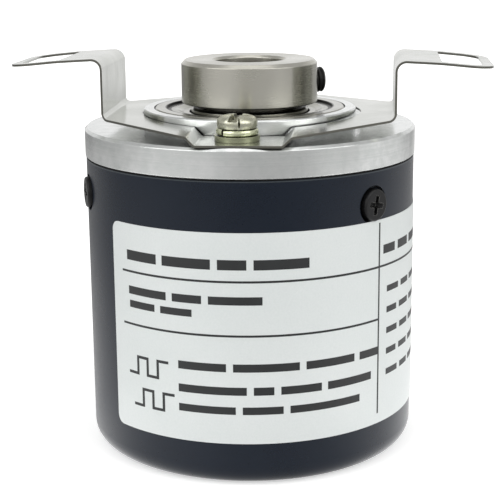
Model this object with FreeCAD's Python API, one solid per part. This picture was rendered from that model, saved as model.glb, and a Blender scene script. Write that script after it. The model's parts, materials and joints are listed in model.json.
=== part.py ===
import FreeCAD, Part
import math
import os

# Hollow shaft rotary encoder. Millimetres, +Z along the shaft towards its mouth.
# The origin lies on the shaft axis in the front face of the mounting flange.
# The arms of the spring plate point along +X and -X.

V = FreeCAD.Vector
Z_AXIS = V(0, 0, 1)
ORIGIN = V(0, 0, 0)

# Casing
flange_land = 6.8         # flat ring of the flange between its boss and its rim
rear_room = 15.75         # from the circuit board to the back of the case
rim_height = 3.25
rim_chamfer = 0.3
rim_edge = 0.1            # small chamfer on the rim's underside
cover_step = 0.1          # how much smaller the cover's radius is than the flange's
cover_wall = 1.4
cover_floor = 1.8
cover_corner = 2.3
cover_inner_corner = 1.0
spigot_clearance = 0.05
spigot_tail = 1.45        # spigot behind the retaining ring
boss_wall = 1.2
boss_height = 1.9
boss_chamfer = 0.15
seal_section = 1.2        # diameter of the O-ring's cord
seal_groove_width = 1.6

# Bearings, both the same
bearing_radius = 11.0
bearing_width = 6.0
bearing_chamfer = 0.25
bearing_proud = 0.05      # how far the upper bearing stands out of the boss
ball_count = 9
race_clearance = 0.04     # between a ball and its grooves
shield_clearance = 0.2    # to the inner ring
shield_seat = 0.3         # how far the shield's edge is let into the outer ring
cage_clearance = 0.08     # between a ball and its pocket
shoulder_width = 2.0      # the flange's shoulder between the two bearings
shoulder_height = 1.2

# Inside of a bearing, as shares of its height from bore to outside
ball_share = 0.264583     # a ball's radius, as a share of the mean of that height and the bearing's width
gap_share = 0.416667      # room between the outer ring and the inner ring

# Shields, as shares of the bearing's width, then of the room between the rings
shield_thickness_share = 0.05
shield_recess_share = 0.041667
shield_dish_share = 0.05  # how much lower the shield's inner part lies
shield_rim_share = 0.48   # flat ring beside the outer ring
shield_lip_share = 0.26   # flat ring beside the inner ring

# Cage, as shares of the bearing's width, then of the room between the rings, then of a ball's radius
cage_gap_share = 0.033333 # from the cage to the shield behind it
cage_wall_share = 0.6
cage_front_share = 0.44   # how far its claws reach past the balls' middle
cage_throat_share = 0.926 # half width between two claws
cage_notch_share = 0.69   # slot between the claws of neighbouring pockets
cage_notch_depth_share = 0.35

# Rings that hold the bearings
retainer_thickness = 1.0
retainer_groove = 0.5
retainer_width = 1.6
retainer_opening = 55.0   # degrees left open for the pliers
retainer_eye_turn = 10.0  # degrees between the eyes beyond the opening
retainer_eye_edge = 0.1   # from an eye to the bearing's outside
retainer_eye_radius = 1.15
retainer_eye_hole = 0.5
spacer_step = 0.4         # the inner spacer is this much smaller in radius than the inner rings
circlip_thickness = 0.8
circlip_groove = 0.3
circlip_width = 1.1
circlip_opening = 70.0

# Shaft
bore_radius = 4.0
bore_chamfer = 0.27
bore_end_wall = 3.2       # metal behind the bore's wall
bore_point = 1.4          # depth of the drill's cone below that
shaft_wall = 1.0
hub_wall = 3.8
hub_length = 4.86
hub_gap = 0.52            # from the bearing's face to the hub
hub_chamfer = 0.4
hub_rear_chamfer = 0.1
neck_step = 1.0           # the neck under the hub, over the shaft's seat
shaft_chamfer = 0.3

# Set screws
set_screw_radius = 1.5
set_screw_stand = 0.95    # how far it stands out of the hub
set_screw_back = 0.85     # how far its tip stays back from the bore
set_screw_height = 2.65   # from the hub's top face to the screw's axis
set_screw_clearance = 0.04
set_screw_tip = 0.6       # chamfer at the end that bites the shaft
set_screw_chamfer = 0.3
set_screw_socket = 0.75   # socket's half width across its flats
set_screw_socket_depth = 1.4
set_screw_azimuths = {"set_screw_side": 22.0, "set_screw_rear": 112.0}

# Spring plate
sheet = 0.25
plate_height = 1.1        # top face of the raised part above the flange, beside the screw seats
plate_rise = 0.35         # how much higher the raised part is at the legs
plate_sum = 23.5          # |X| + |Y| along the slanting edges
plate_margin = 0.3        # from the front edge to the flange's edge
plate_hole_clearance = 0.2
seat_half_width = 3.95    # flat screw seat, pressed down onto the flange
seat_slope_run = 1.2
seat_bend = 0.4
leg_distance = 3.84       # from the plate's hole to the middle of each leg's sheet
arm_half_width = 7.25
arm_top = 7.94            # top face of the arm, beside its bend
arm_bend = 1.1
arm_length = 10.66        # from the leg to the arm's tip
arm_corner = 3.0
arm_slope_inner = 3.0     # degrees that the arm droops beside the leg
arm_slope_outer = 5.5     # degrees that it droops beside its window
arm_knee_bend = 30.0
window_length = 4.6
window_edge = 1.1         # sheet left beyond the window at the tip
window_side = 1.3         # sheet left beside the window
window_corner = 2.2
window_inner_corner = 0.4

# Plate screws
plate_screw_radius = 1.25
plate_screw_length = 6.0
plate_screw_head_radius = 2.15
plate_screw_head_height = 1.4
plate_screw_turn = -20.0  # azimuth at which the driver left the cross recess
plate_screw_slit = 0.16   # narrow slit through the head's edge
plate_screw_slit_turn = -56.0  # azimuth of the slit beyond an arm of the recess
plate_screw_hole = 1.45
flat_washer_radius = 2.4
flat_washer_thickness = 0.6
flat_washer_gap = 0.4     # from the boss to the flat washers
lock_washer_radius = 2.25
lock_washer_thickness = 0.75
lock_washer_split = 0.35
lock_washer_turn = 52.0
plate_screw_bottom = 1.0  # thread left free under the screw

# Cover screws
cover_screw_count = 3
cover_screw_azimuth = -40.5
cover_screw_depth = 3.85  # from the rim's underside to the screw's axis
cover_screw_radius = 1.0
cover_screw_length = 4.2
cover_screw_turn = -11.0  # how far the cross recess is turned from upright
cover_screw_head_radius = 1.75
cover_screw_head_height = 1.3
cover_screw_head_round = 0.2
cover_screw_proud = 0.4
cover_screw_rim = 0.35    # free ring between the head and its counterbore

# Recess or slot, as shares of the head it is cut in
recess_span = 0.58
recess_arm = 0.14
recess_depth = 0.55
slot_half_width = 0.14
slot_depth = 0.5

# A pan head's seat, side arc and crown arc: points as shares of its radius and height
pan_outline = ((0.89, 0.0), (1.0, 0.4), (0.94, 0.7), (0.67, 0.93), (0.0, 1.0))

# Label
label_thickness = 0.08
label_top_gap = 0.02      # under the heads of the cover screws
label_bottom_gap = 5.05   # above the back of the case
label_start = -137.4      # azimuth of the left edge
label_end = 17.0
label_corner = 1.0

# Code disc and what holds it
disc_room = 0.5           # from the disc's edge to the board pillars
disc_thickness = 0.4
disc_play = 0.05
disc_hub_gap = 0.7        # from the circlip to the disc hub
disc_hub_sleeve = 2.0
disc_hub_height = 4.2
disc_seat_room = 0.4      # from the disc's seat to the lamp holder
disc_seat_thickness = 1.5
clamp_ring_step = 0.3     # how much smaller the clamp ring's radius is than the seat's
clamp_ring_thickness = 1.0
clamp_screw_count = 3
clamp_screw_edge = 1.1    # from the clamp ring's outside to the screws
clamp_screw_radius = 0.5
clamp_screw_head_radius = 0.95
clamp_screw_head_height = 0.5
clamp_screw_length = 2.4
clamp_screw_azimuth = 60.0
thread_spare = 0.4        # thread cut deeper than each small screw reaches
small_hole_play = 0.1     # around the screws in the disc and the clamp ring
slit_count = 60
slit_edge = 0.5           # from the slits to the disc's edge
slit_length = 1.0
slit_share = 0.5          # of the pitch that is open

# Light source
lamp_gap = 0.6            # from the lens to the disc
lamp_radius = 1.5
lamp_lens_height = 0.8
lamp_top_gap = 0.05       # from the lamp to the spigot
lamp_flange = 0.3
lamp_flange_thickness = 0.5
holder_half_width = 4.5
holder_inner = 0.7        # wall between the lamp and the holder's inner end
holder_length = 5.2
holder_clearance = 0.35   # from the lens up to the holder's underside
holder_corner = 0.6
holder_screw_radius = 0.7
holder_screw_head_radius = 1.25
holder_screw_head_height = 0.7
holder_screw_grip = 3.0
holder_screw_spread = 2.7
holder_screw_inset = 1.8

# Receiver
mask_gap = 0.4            # from the disc to the scanning mask
mask_thickness = 0.5
mask_length = 3.6
mask_width = 5.0
mask_slits = 4
mask_slit_width = 0.3
detector_height = 1.2
detector_length = 5.0
detector_width = 7.0

# Circuit board
board_thickness = 1.2
board_clearance = 0.6     # to the cover
pillar_count = 3
pillar_azimuth = 30.0
pillar_radius = 1.5
pillar_edge = 0.95        # from the pillar to the spigot's outside
board_screw_radius = 0.8
board_screw_length = 4.0
board_screw_head_radius = 1.45
board_screw_head_height = 0.9
chip_side = 7.0
chip_height = 1.4
driver_length = 5.0
driver_width = 4.0
driver_height = 1.5
driver_gap = 1.5          # between the two chips
capacitor_count = 6
capacitor_length = 1.6
capacitor_width = 0.8
capacitor_height = 0.9
capacitor_pitch = 1.7
capacitor_gap = 2.3       # from the signal chip to each row
header_length = 9.0
header_width = 3.2
header_height = 5.0
header_place = 10.0
header_wall = 0.6
header_floor = 1.4
pin_count = 5
pin_pitch = 1.5
pin_half = 0.3
pin_below = 4.2
pin_above = 0.4

# Cable outlet
outlet_height = 7.7       # from the cover's back to the outlet's axis
outlet_bore = 2.5
outlet_thread = 3.3
outlet_spot_radius = 4.5
outlet_hex = 4.0          # half width across flats
outlet_hex_thickness = 2.4
outlet_hex_chamfer = 0.35
outlet_nose = 3.0
outlet_nose_radius = 3.7
outlet_nose_end = 3.0
outlet_nose_straight = 1.2
outlet_nose_round = 0.4
outlet_gasket = 0.7
outlet_nut_thickness = 2.0
outlet_nut_hex = 4.0
outlet_tail = 0.8         # thread past the nut

# How far a cutting shape reaches past what it cuts
overcut = 1.0

# Places worked out from the sizes above
boss_radius = bearing_radius + boss_wall
body_radius = boss_radius + flange_land
rim_bottom = -rim_height
cover_radius = body_radius - cover_step
cover_inner = cover_radius - cover_wall
spigot_radius = cover_inner - spigot_clearance
seat_radius = bore_radius + shaft_wall
neck_radius = seat_radius + neck_step
hub_radius = bore_radius + hub_wall
pitch_radius = (seat_radius + bearing_radius) / 2
bearing_height = bearing_radius - seat_radius
ball_radius = ball_share * (bearing_height + bearing_width) / 2
ring_gap = gap_share * bearing_height
shield_thickness = shield_thickness_share * bearing_width
shield_recess = shield_recess_share * bearing_width
shield_dish = shield_dish_share * bearing_width
shield_rim = shield_rim_share * ring_gap
shield_lip = shield_lip_share * ring_gap
cage_back_gap = cage_gap_share * bearing_width
cage_wall = cage_wall_share * ring_gap
cage_front = cage_front_share * ball_radius
cage_throat = cage_throat_share * ball_radius
cage_notch = cage_notch_share * ball_radius
cage_notch_depth = cage_notch_depth_share * ball_radius
inner_ring_radius = pitch_radius - ring_gap / 2
outer_ring_inner = pitch_radius + ring_gap / 2
upper_face = boss_height + bearing_proud
lower_face = upper_face - bearing_width - shoulder_width
bearings_bottom = lower_face - bearing_width
spigot_bottom = bearings_bottom - retainer_thickness - spigot_tail
retainer_eye_circle = bearing_radius - retainer_eye_radius - retainer_eye_edge
hub_bottom = upper_face + hub_gap
hub_top = hub_bottom + hub_length
circlip_bottom = bearings_bottom - circlip_thickness
disc_hub_top = circlip_bottom - disc_hub_gap
disc_top = disc_hub_top - disc_hub_height
disc_bottom = disc_top - disc_thickness
clamp_bottom = disc_bottom - clamp_ring_thickness
shaft_bottom = clamp_bottom
bore_bottom = shaft_bottom + bore_end_wall
pillar_circle = spigot_radius - pillar_edge - pillar_radius
disc_radius = pillar_circle - pillar_radius - disc_room
slit_outer = disc_radius - slit_edge
slit_inner = slit_outer - slit_length
track_radius = (slit_outer + slit_inner) / 2
holder_end = track_radius - lamp_radius - holder_inner
holder_screw_x = holder_end + holder_length - holder_screw_inset
lens_bottom = disc_top + lamp_gap
holder_underside = lens_bottom + holder_clearance
disc_seat_radius = holder_end - disc_seat_room
clamp_ring_radius = disc_seat_radius - clamp_ring_step
clamp_screw_circle = clamp_ring_radius - clamp_screw_edge
mask_top = disc_bottom - mask_gap
detector_top = mask_top - mask_thickness
board_top = detector_top - detector_height
board_bottom = board_top - board_thickness
board_radius = cover_inner - board_clearance
cover_back = board_bottom - rear_room
outlet_z = cover_back + outlet_height
plate_washer_top = sheet + flat_washer_thickness
plate_head_bottom = plate_washer_top + lock_washer_thickness
cover_screw_z = rim_bottom - cover_screw_depth
cover_screw_floor = cover_radius + cover_screw_proud - cover_screw_head_height
seal_z = (cover_screw_z + spigot_bottom) / 2
label_top = cover_screw_z - cover_screw_head_radius - label_top_gap
label_bottom = cover_back + label_bottom_gap
set_screw_z = hub_top - set_screw_height
plate_hole_radius = boss_radius + plate_hole_clearance
leg_offset = plate_hole_radius + leg_distance
arm_reach = leg_offset + arm_length
window_outer = arm_reach - window_edge
window_inner = window_outer - window_length
plate_screw_circle = boss_radius + flat_washer_gap + flat_washer_radius
outlet_face = math.sqrt(cover_radius ** 2 - outlet_spot_radius ** 2)
outlet_nut_corner = outlet_nut_hex / math.cos(math.radians(30))
outlet_nut_face = math.sqrt(cover_inner ** 2 - outlet_nut_corner ** 2)


def polygon_face(points):
    """Flat face inside a closed outline of vectors."""
    return Part.Face(Part.makePolygon(points + [points[0]]))


def turned(outline, degrees=360):
    """Solid of revolution about Z from (radius, z) points."""
    face = polygon_face([V(r, 0, z) for r, z in outline])
    return face.revolve(ORIGIN, Z_AXIS, degrees)


def tube(outer, inner, bottom, top):
    """Plain ring between two heights."""
    return turned([(inner, bottom), (outer, bottom), (outer, top), (inner, top)])


def cylinder(radius, bottom, top, x=0.0, y=0.0):
    """Upright cylinder between two heights."""
    return Part.makeCylinder(radius, top - bottom, V(x, y, bottom))


def block(x_low, x_high, y_low, y_high, z_low, z_high):
    """Box given by its lowest and highest corners."""
    return Part.makeBox(x_high - x_low, y_high - y_low, z_high - z_low, V(x_low, y_low, z_low))


def hexagon(half_width, bottom, top):
    """Upright hexagonal prism, given half its width across flats."""
    corner = half_width / math.cos(math.radians(30))
    points = []
    for step in range(6):
        angle = math.radians(60 * step)
        points.append(V(corner * math.cos(angle), corner * math.sin(angle), bottom))
    return polygon_face(points).extrude(V(0, 0, top - bottom))


def turned_about_z(shape, degrees):
    """Copy of a shape, turned about the shaft axis."""
    copy = shape.copy()
    copy.rotate(ORIGIN, Z_AXIS, degrees)
    return copy


def around(shape, count, first=0.0):
    """Copies of a shape, evenly spaced round the shaft axis."""
    return [turned_about_z(shape, first + 360 * step / count) for step in range(count)]


def cut_all(shape, tools):
    """Shape with every tool cut from it."""
    for tool in tools:
        shape = shape.cut(tool)
    return shape


def pointing_outwards(shape, azimuth, height):
    """Shape drawn along +Z, laid radially so that its +Z points away from the shaft."""
    copy = shape.copy()
    copy.rotate(ORIGIN, V(0, 1, 0), 90)
    copy.translate(V(0, 0, height))
    copy.rotate(ORIGIN, Z_AXIS, azimuth)
    return copy


def upright_edges(shape):
    """Straight edges of a shape that run along Z."""
    return [edge for edge in shape.Edges if edge.BoundBox.ZLength > 0.99 * edge.Length]


def circles_below(shape, height):
    """Round edges of a shape that lie wholly below a height."""
    return [edge for edge in shape.Edges if edge.BoundBox.ZMax < height and edge.isClosed()]


def cross_recess(head_radius, head_top, depth):
    """Cross-shaped tool for a screw head, tapering to its bottom."""
    span = head_radius * recess_span
    arm = head_radius * recess_arm
    half = block(-span, span, -arm, arm, head_top - depth, head_top + overcut)
    other = block(-arm, arm, -span, span, head_top - depth, head_top + overcut)
    return half.fuse(other)


def pan_head(radius, height):
    """Screw head on z = 0 with a bulging side and a rounded crown."""
    seat, bulge, shoulder, crown, top = [V(radius * across, 0, height * up) for across, up in pan_outline]
    edges = [Part.LineSegment(ORIGIN, seat).toShape(), Part.Arc(seat, bulge, shoulder).toShape(),
             Part.Arc(shoulder, crown, top).toShape(), Part.LineSegment(top, ORIGIN).toShape()]
    return Part.Face(Part.Wire(edges)).revolve(ORIGIN, Z_AXIS, 360)


def round_edged_head(radius, height, edge_round):
    """Screw head on z = 0 with a straight side and a rounded upper edge."""
    head = cylinder(radius, 0, height)
    upper = [edge for edge in head.Edges if edge.BoundBox.ZMin > height / 2]
    return head.makeFillet(edge_round, upper)


def cross_screw(radius, length, head, head_radius, head_height):
    """Screw with a cross recess: its head stands on z = 0 and the shank hangs below it."""
    shank = cylinder(radius, -length, 0)
    recess = cross_recess(head_radius, head_height, head_height * recess_depth)
    return head.fuse(shank).removeSplitter().cut(recess)


def flat_screw(radius, length, head_radius, head_height):
    """Cylinder head screw: the head hangs below z = 0 and the shank stands up from it."""
    head = cylinder(head_radius, -head_height, 0)
    shank = cylinder(radius, 0, length)
    slot = block(-head_radius, head_radius, -head_radius * slot_half_width, head_radius * slot_half_width,
                 -head_height, -head_height * (1 - slot_depth))
    return head.fuse(shank).removeSplitter().cut(slot)


def mounting_flange():
    """Turned disc with the bearing boss in front and the cover's spigot behind."""
    chamfer = rim_chamfer
    body = turned([
        (bearing_radius, spigot_bottom),
        (spigot_radius - chamfer, spigot_bottom),
        (spigot_radius, spigot_bottom + chamfer),
        (spigot_radius, rim_bottom),
        (body_radius - rim_edge, rim_bottom),
        (body_radius, rim_bottom + rim_edge),
        (body_radius, -chamfer),
        (body_radius - chamfer, 0),
        (boss_radius, 0),
        (boss_radius, boss_height - boss_chamfer),
        (boss_radius - boss_chamfer, boss_height),
        (bearing_radius, boss_height),
        (bearing_radius, upper_face - bearing_width),
        (bearing_radius - shoulder_height, upper_face - bearing_width),
        (bearing_radius - shoulder_height, lower_face),
        (bearing_radius, lower_face),
    ])
    ring_groove = tube(bearing_radius + retainer_groove, bearing_radius - overcut,
                       bearings_bottom - retainer_thickness, bearings_bottom)
    seal_groove = tube(spigot_radius + overcut, cover_inner - seal_section,
                       seal_z - seal_groove_width / 2, seal_z + seal_groove_width / 2)
    tools = [ring_groove, seal_groove]
    plate_thread = cylinder(plate_screw_radius, plate_head_bottom - plate_screw_length - plate_screw_bottom,
                            1, 0, -plate_screw_circle)
    tools += around(plate_thread, 2)
    thread_end = cover_screw_floor - cover_screw_length - thread_spare
    cover_thread = cylinder(cover_screw_radius, thread_end, spigot_radius + overcut)
    cover_thread = pointing_outwards(cover_thread, cover_screw_azimuth, cover_screw_z)
    tools += around(cover_thread, cover_screw_count)
    pillar_thread = cylinder(board_screw_radius, spigot_bottom - overcut, spigot_bottom + board_screw_length,
                             pillar_circle)
    tools += around(pillar_thread, pillar_count, pillar_azimuth)
    for side in (-1, 1):
        tools.append(cylinder(holder_screw_radius, spigot_bottom - overcut, spigot_bottom + holder_screw_grip,
                              holder_screw_x, side * holder_screw_spread))
    return cut_all(body, tools)


def cover():
    """Deep cup over the back, with countersunk places for its screws and the cable outlet."""
    outer = cylinder(cover_radius, cover_back, rim_bottom)
    outer = outer.makeFillet(cover_corner, circles_below(outer, rim_bottom - overcut))
    room = cylinder(cover_inner, cover_back + cover_floor, rim_bottom + overcut)
    room = room.makeFillet(cover_inner_corner, circles_below(room, rim_bottom - overcut))
    shell = outer.cut(room)
    floor = cover_screw_floor
    seat = cylinder(cover_screw_head_radius + cover_screw_rim, floor, cover_radius + overcut)
    hole = cylinder(cover_screw_radius, cover_inner - overcut, cover_radius)
    tools = around(pointing_outwards(seat, cover_screw_azimuth, cover_screw_z), cover_screw_count)
    tools += around(pointing_outwards(hole, cover_screw_azimuth, cover_screw_z), cover_screw_count)
    spot = cylinder(outlet_spot_radius, outlet_face, cover_radius + overcut)
    thread = cylinder(outlet_thread, outlet_nut_face - overcut, cover_radius + overcut)
    tools.append(pointing_outwards(spot, 90, outlet_z))
    tools.append(pointing_outwards(thread, 90, outlet_z))
    return cut_all(shell, tools)


def cover_screws():
    """Radial screws that hold the cover on the spigot."""
    head = round_edged_head(cover_screw_head_radius, cover_screw_head_height, cover_screw_head_round)
    screw = cross_screw(cover_screw_radius, cover_screw_length, head, cover_screw_head_radius,
                        cover_screw_head_height)
    screw.rotate(ORIGIN, Z_AXIS, cover_screw_turn)
    screw.translate(V(0, 0, cover_screw_floor))
    return around(pointing_outwards(screw, cover_screw_azimuth, cover_screw_z), cover_screw_count)


def cover_seal():
    """O-ring between the spigot and the cover."""
    middle = cover_inner - seal_section / 2
    return [Part.makeTorus(middle, seal_section / 2, V(0, 0, seal_z))]


def label():
    """Thin sticker wrapped round the cover, with rounded corners."""
    outer = cover_radius + label_thickness
    sticker = turned([(cover_radius, label_bottom), (outer, label_bottom), (outer, label_top),
                      (cover_radius, label_top)], label_end - label_start)
    sticker.rotate(ORIGIN, Z_AXIS, label_start)
    corner_turn = math.degrees(label_corner / cover_radius)
    for azimuth, side in ((label_start, 1), (label_end, -1)):
        for height, up in ((label_top, -1), (label_bottom, 1)):
            middle = height + up * label_corner
            low, high = sorted((height - up * overcut, middle))
            square = turned([(cover_radius - overcut, low), (cover_radius + overcut, low),
                             (cover_radius + overcut, high), (cover_radius - overcut, high)], 2 * corner_turn)
            square.rotate(ORIGIN, Z_AXIS, azimuth - corner_turn)
            disc = cylinder(label_corner, cover_radius - 2 * overcut, cover_radius + 2 * overcut)
            disc = pointing_outwards(disc, azimuth + side * corner_turn, middle)
            sticker = sticker.cut(square.cut(disc))
    return [sticker]


def rounded_path(points, radii):
    """Edges through (x, z) points, with each inner corner replaced by a tangent arc."""
    edges = []
    start = V(points[0][0], 0, points[0][1])
    for index in range(1, len(points) - 1):
        before = V(points[index - 1][0], 0, points[index - 1][1])
        corner = V(points[index][0], 0, points[index][1])
        after = V(points[index + 1][0], 0, points[index + 1][1])
        inward = (before - corner).normalize()
        onward = (after - corner).normalize()
        turn = math.pi - inward.getAngle(onward)
        reach = radii[index - 1] * math.tan(turn / 2)
        first = corner + inward * reach
        last = corner + onward * reach
        bisector = (inward + onward).normalize()
        middle = corner + bisector * (radii[index - 1] * (1 / math.cos(turn / 2) - 1))
        edges.append(Part.LineSegment(start, first).toShape())
        edges.append(Part.Arc(first, middle, last).toShape())
        start = last
    edges.append(Part.LineSegment(start, V(points[-1][0], 0, points[-1][1])).toShape())
    return edges


def shifted_points(points, distance):
    """Corners of a line that runs parallel to (x, z) points, to their left."""
    shifted = []
    for index, point in enumerate(points):
        sides = []
        if index > 0:
            sides.append((points[index - 1], point))
        if index < len(points) - 1:
            sides.append((point, points[index + 1]))
        normals = []
        for first, last in sides:
            length = math.hypot(last[0] - first[0], last[1] - first[1])
            normals.append((-(last[1] - first[1]) / length, (last[0] - first[0]) / length))
        if len(normals) == 1:
            normals.append(normals[0])
        total = (normals[0][0] + normals[1][0], normals[0][1] + normals[1][1])
        scale = 2 / (total[0] ** 2 + total[1] ** 2)
        shifted.append((point[0] + distance * total[0] * scale, point[1] + distance * total[1] * scale))
    return shifted


def turn_side(points, index):
    """+1 where the line through (x, z) points turns left at a corner, -1 where it turns right."""
    ax = points[index][0] - points[index - 1][0]
    az = points[index][1] - points[index - 1][1]
    bx = points[index + 1][0] - points[index][0]
    bz = points[index + 1][1] - points[index][1]
    return 1 if ax * bz - az * bx > 0 else -1


def sheet_section(points, radii, thickness):
    """Face of a bent sheet whose middle line follows (x, z) points with the given bend radii."""
    half = thickness / 2
    left = shifted_points(points, half)
    right = shifted_points(points, -half)
    sides = [turn_side(points, index) for index in range(1, len(points) - 1)]
    left_radii = [radius - side * half for radius, side in zip(radii, sides)]
    right_radii = [radius + side * half for radius, side in zip(radii, sides)]
    edges = rounded_path(left, left_radii)
    edges += rounded_path(right[::-1], right_radii[::-1])
    for first, last in ((left[-1], right[-1]), (right[0], left[0])):
        edges.append(Part.LineSegment(V(first[0], 0, first[1]), V(last[0], 0, last[1])).toShape())
    return Part.Face(Part.Wire(Part.__sortEdges__(edges)))


def spring_plate():
    """Stator coupling: one bent sheet with two screw seats, two legs and two drooping arms."""
    middle = plate_height - sheet / 2
    top = arm_top - sheet / 2
    knee = top - (window_inner - leg_offset) * math.tan(math.radians(arm_slope_inner))
    past_tip = arm_reach + overcut
    tip = knee - (past_tip - window_inner) * math.tan(math.radians(arm_slope_outer))
    half = [(seat_half_width, sheet / 2), (seat_half_width + seat_slope_run, middle),
            (leg_offset, middle + plate_rise), (leg_offset, top), (window_inner, knee), (past_tip, tip)]
    half_radii = [seat_bend, seat_bend, arm_bend, arm_bend, arm_knee_bend]
    points = [(-x, z) for x, z in half[::-1]] + half
    radii = half_radii[::-1] + half_radii
    section = sheet_section(points, radii, sheet)
    width = body_radius
    section.translate(V(0, -width, 0))
    bent = section.extrude(V(0, 2 * width, 0))
    return [bent.common(plate_outline()).cut(plate_openings())]


def plate_outline():
    """Block whose plan is the sheet's outline seen from above."""
    front = body_radius - plate_margin
    low, high = -overcut, arm_top + overcut
    corners = [(plate_sum - front, -front), (plate_sum - arm_half_width, -arm_half_width),
               (plate_sum - arm_half_width, arm_half_width), (plate_sum - front, front)]
    corners += [(-x, -y) for x, y in corners]
    plan = polygon_face([V(x, y, low) for x, y in corners]).extrude(V(0, 0, high - low))
    arms = block(-arm_reach, arm_reach, -arm_half_width, arm_half_width, low, high)
    arms = arms.makeFillet(arm_corner, upright_edges(arms))
    return plan.fuse(arms).removeSplitter()


def plate_openings():
    """Everything that is punched out of the spring plate."""
    low, high = -overcut, arm_top + overcut
    hole = cylinder(plate_hole_radius, low, high)
    for side in (-1, 1):
        hole = hole.fuse(cylinder(plate_screw_hole, low, high, 0, side * plate_screw_circle))
        hole = hole.fuse(turned_about_z(arm_window(low, high), 90 - side * 90))
    return hole


def arm_window(low, high):
    """Tool for the window of the arm that points along +X."""
    reach = arm_half_width - window_side
    window = block(window_inner, window_outer, -reach, reach, low, high)
    for radius, x in ((window_corner, window_outer), (window_inner_corner, window_inner)):
        corners = [edge for edge in upright_edges(window) if math.isclose(edge.BoundBox.Center.x, x)]
        window = window.makeFillet(radius, corners)
    return window


def plate_screws():
    """Pan head screws that hold the spring plate on the flange."""
    reach = plate_screw_head_radius
    height = plate_screw_head_height
    screw = cross_screw(plate_screw_radius, plate_screw_length, pan_head(reach, height), reach, height)
    slit = block(reach / 2, 2 * reach, -plate_screw_slit / 2, plate_screw_slit / 2,
                 plate_screw_slit, 2 * height)
    screw = screw.cut(turned_about_z(slit, plate_screw_slit_turn))
    screw.rotate(ORIGIN, Z_AXIS, plate_screw_turn)
    screw.translate(V(0, -plate_screw_circle, plate_head_bottom))
    return around(screw, 2)


def flat_washers():
    """Plain washers on the seats of the spring plate."""
    washer = tube(flat_washer_radius, plate_screw_radius, sheet, plate_washer_top)
    washer.translate(V(0, -plate_screw_circle, 0))
    return around(washer, 2)


def lock_washers():
    """Split washers under the screw heads, cut open at one side."""
    washer = tube(lock_washer_radius, plate_screw_radius, plate_washer_top, plate_head_bottom)
    gap = block(-lock_washer_radius - overcut, 0, -lock_washer_split / 2, lock_washer_split / 2,
                plate_washer_top - overcut, plate_head_bottom + overcut)
    gap.rotate(ORIGIN, Z_AXIS, lock_washer_turn)
    washer = washer.cut(gap)
    washer.translate(V(0, -plate_screw_circle, 0))
    return around(washer, 2)


def groove(face):
    """Ball track shared by both rings of the bearing whose upper face is given."""
    return Part.makeTorus(pitch_radius, ball_radius + race_clearance, V(0, 0, face - bearing_width / 2))


def outer_ring(face):
    """Outer ring with its ball track and the two steps that hold the shields."""
    bottom = face - bearing_width
    chamfer = bearing_chamfer
    step = outer_ring_inner + shield_seat
    depth = shield_recess + shield_thickness
    ring = turned([
        (step, bottom), (bearing_radius - chamfer, bottom), (bearing_radius, bottom + chamfer),
        (bearing_radius, face - chamfer), (bearing_radius - chamfer, face), (step, face),
        (step, face - depth), (outer_ring_inner, face - depth),
        (outer_ring_inner, bottom + depth), (step, bottom + depth),
    ])
    return [ring.cut(groove(face))]


def inner_ring(face):
    """Inner ring with its ball track."""
    bottom = face - bearing_width
    chamfer = bearing_chamfer
    ring = turned([
        (seat_radius, bottom), (inner_ring_radius - chamfer, bottom), (inner_ring_radius, bottom + chamfer),
        (inner_ring_radius, face - chamfer), (inner_ring_radius - chamfer, face), (seat_radius, face),
    ])
    return [ring.cut(groove(face))]


def shields(face):
    """Dished sheet shields at both faces of a bearing."""
    edge = outer_ring_inner + shield_seat
    inner = inner_ring_radius + shield_clearance
    outer_bend = edge - shield_rim
    inner_bend = inner + shield_lip
    top = face - shield_recess
    low = top - shield_thickness
    dish = shield_dish
    upper = turned([
        (inner, low - dish), (inner_bend, low - dish), (outer_bend, low), (edge, low),
        (edge, top), (outer_bend, top), (inner_bend, top - dish), (inner, top - dish),
    ])
    lower = upper.mirror(V(0, 0, face - bearing_width / 2), Z_AXIS)
    return [upper, lower]


def balls(face):
    """Balls of one bearing."""
    ball = Part.makeSphere(ball_radius, V(pitch_radius, 0, face - bearing_width / 2))
    return around(ball, ball_count)


def cage(face):
    """Crown cage: a ring behind the balls with open pockets that snap over them."""
    middle = face - bearing_width / 2
    shield_depth = shield_recess + shield_thickness + shield_dish
    back = face - bearing_width + shield_depth + cage_back_gap
    front = middle + cage_front
    ring = tube(pitch_radius + cage_wall / 2, pitch_radius - cage_wall / 2, back, front)
    pocket = Part.makeSphere(ball_radius + cage_clearance, V(pitch_radius, 0, middle))
    throat = cylinder(cage_throat, middle, front + overcut, pitch_radius)
    window = block(pitch_radius - cage_wall, pitch_radius + cage_wall, -cage_notch / 2, cage_notch / 2,
                   front - cage_notch_depth, front + overcut)
    relief = turned_about_z(window, 180 / ball_count)
    tools = around(pocket, ball_count) + around(throat, ball_count) + around(relief, ball_count)
    return [cut_all(ring, tools)]


def open_ring(outer, inner, bottom, top, opening, azimuth):
    """Flat ring with a gap of some degrees, as a circlip has."""
    ring = turned([(inner, bottom), (outer, bottom), (outer, top), (inner, top)], 360 - opening)
    ring.rotate(ORIGIN, Z_AXIS, azimuth + opening / 2)
    return ring


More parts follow.
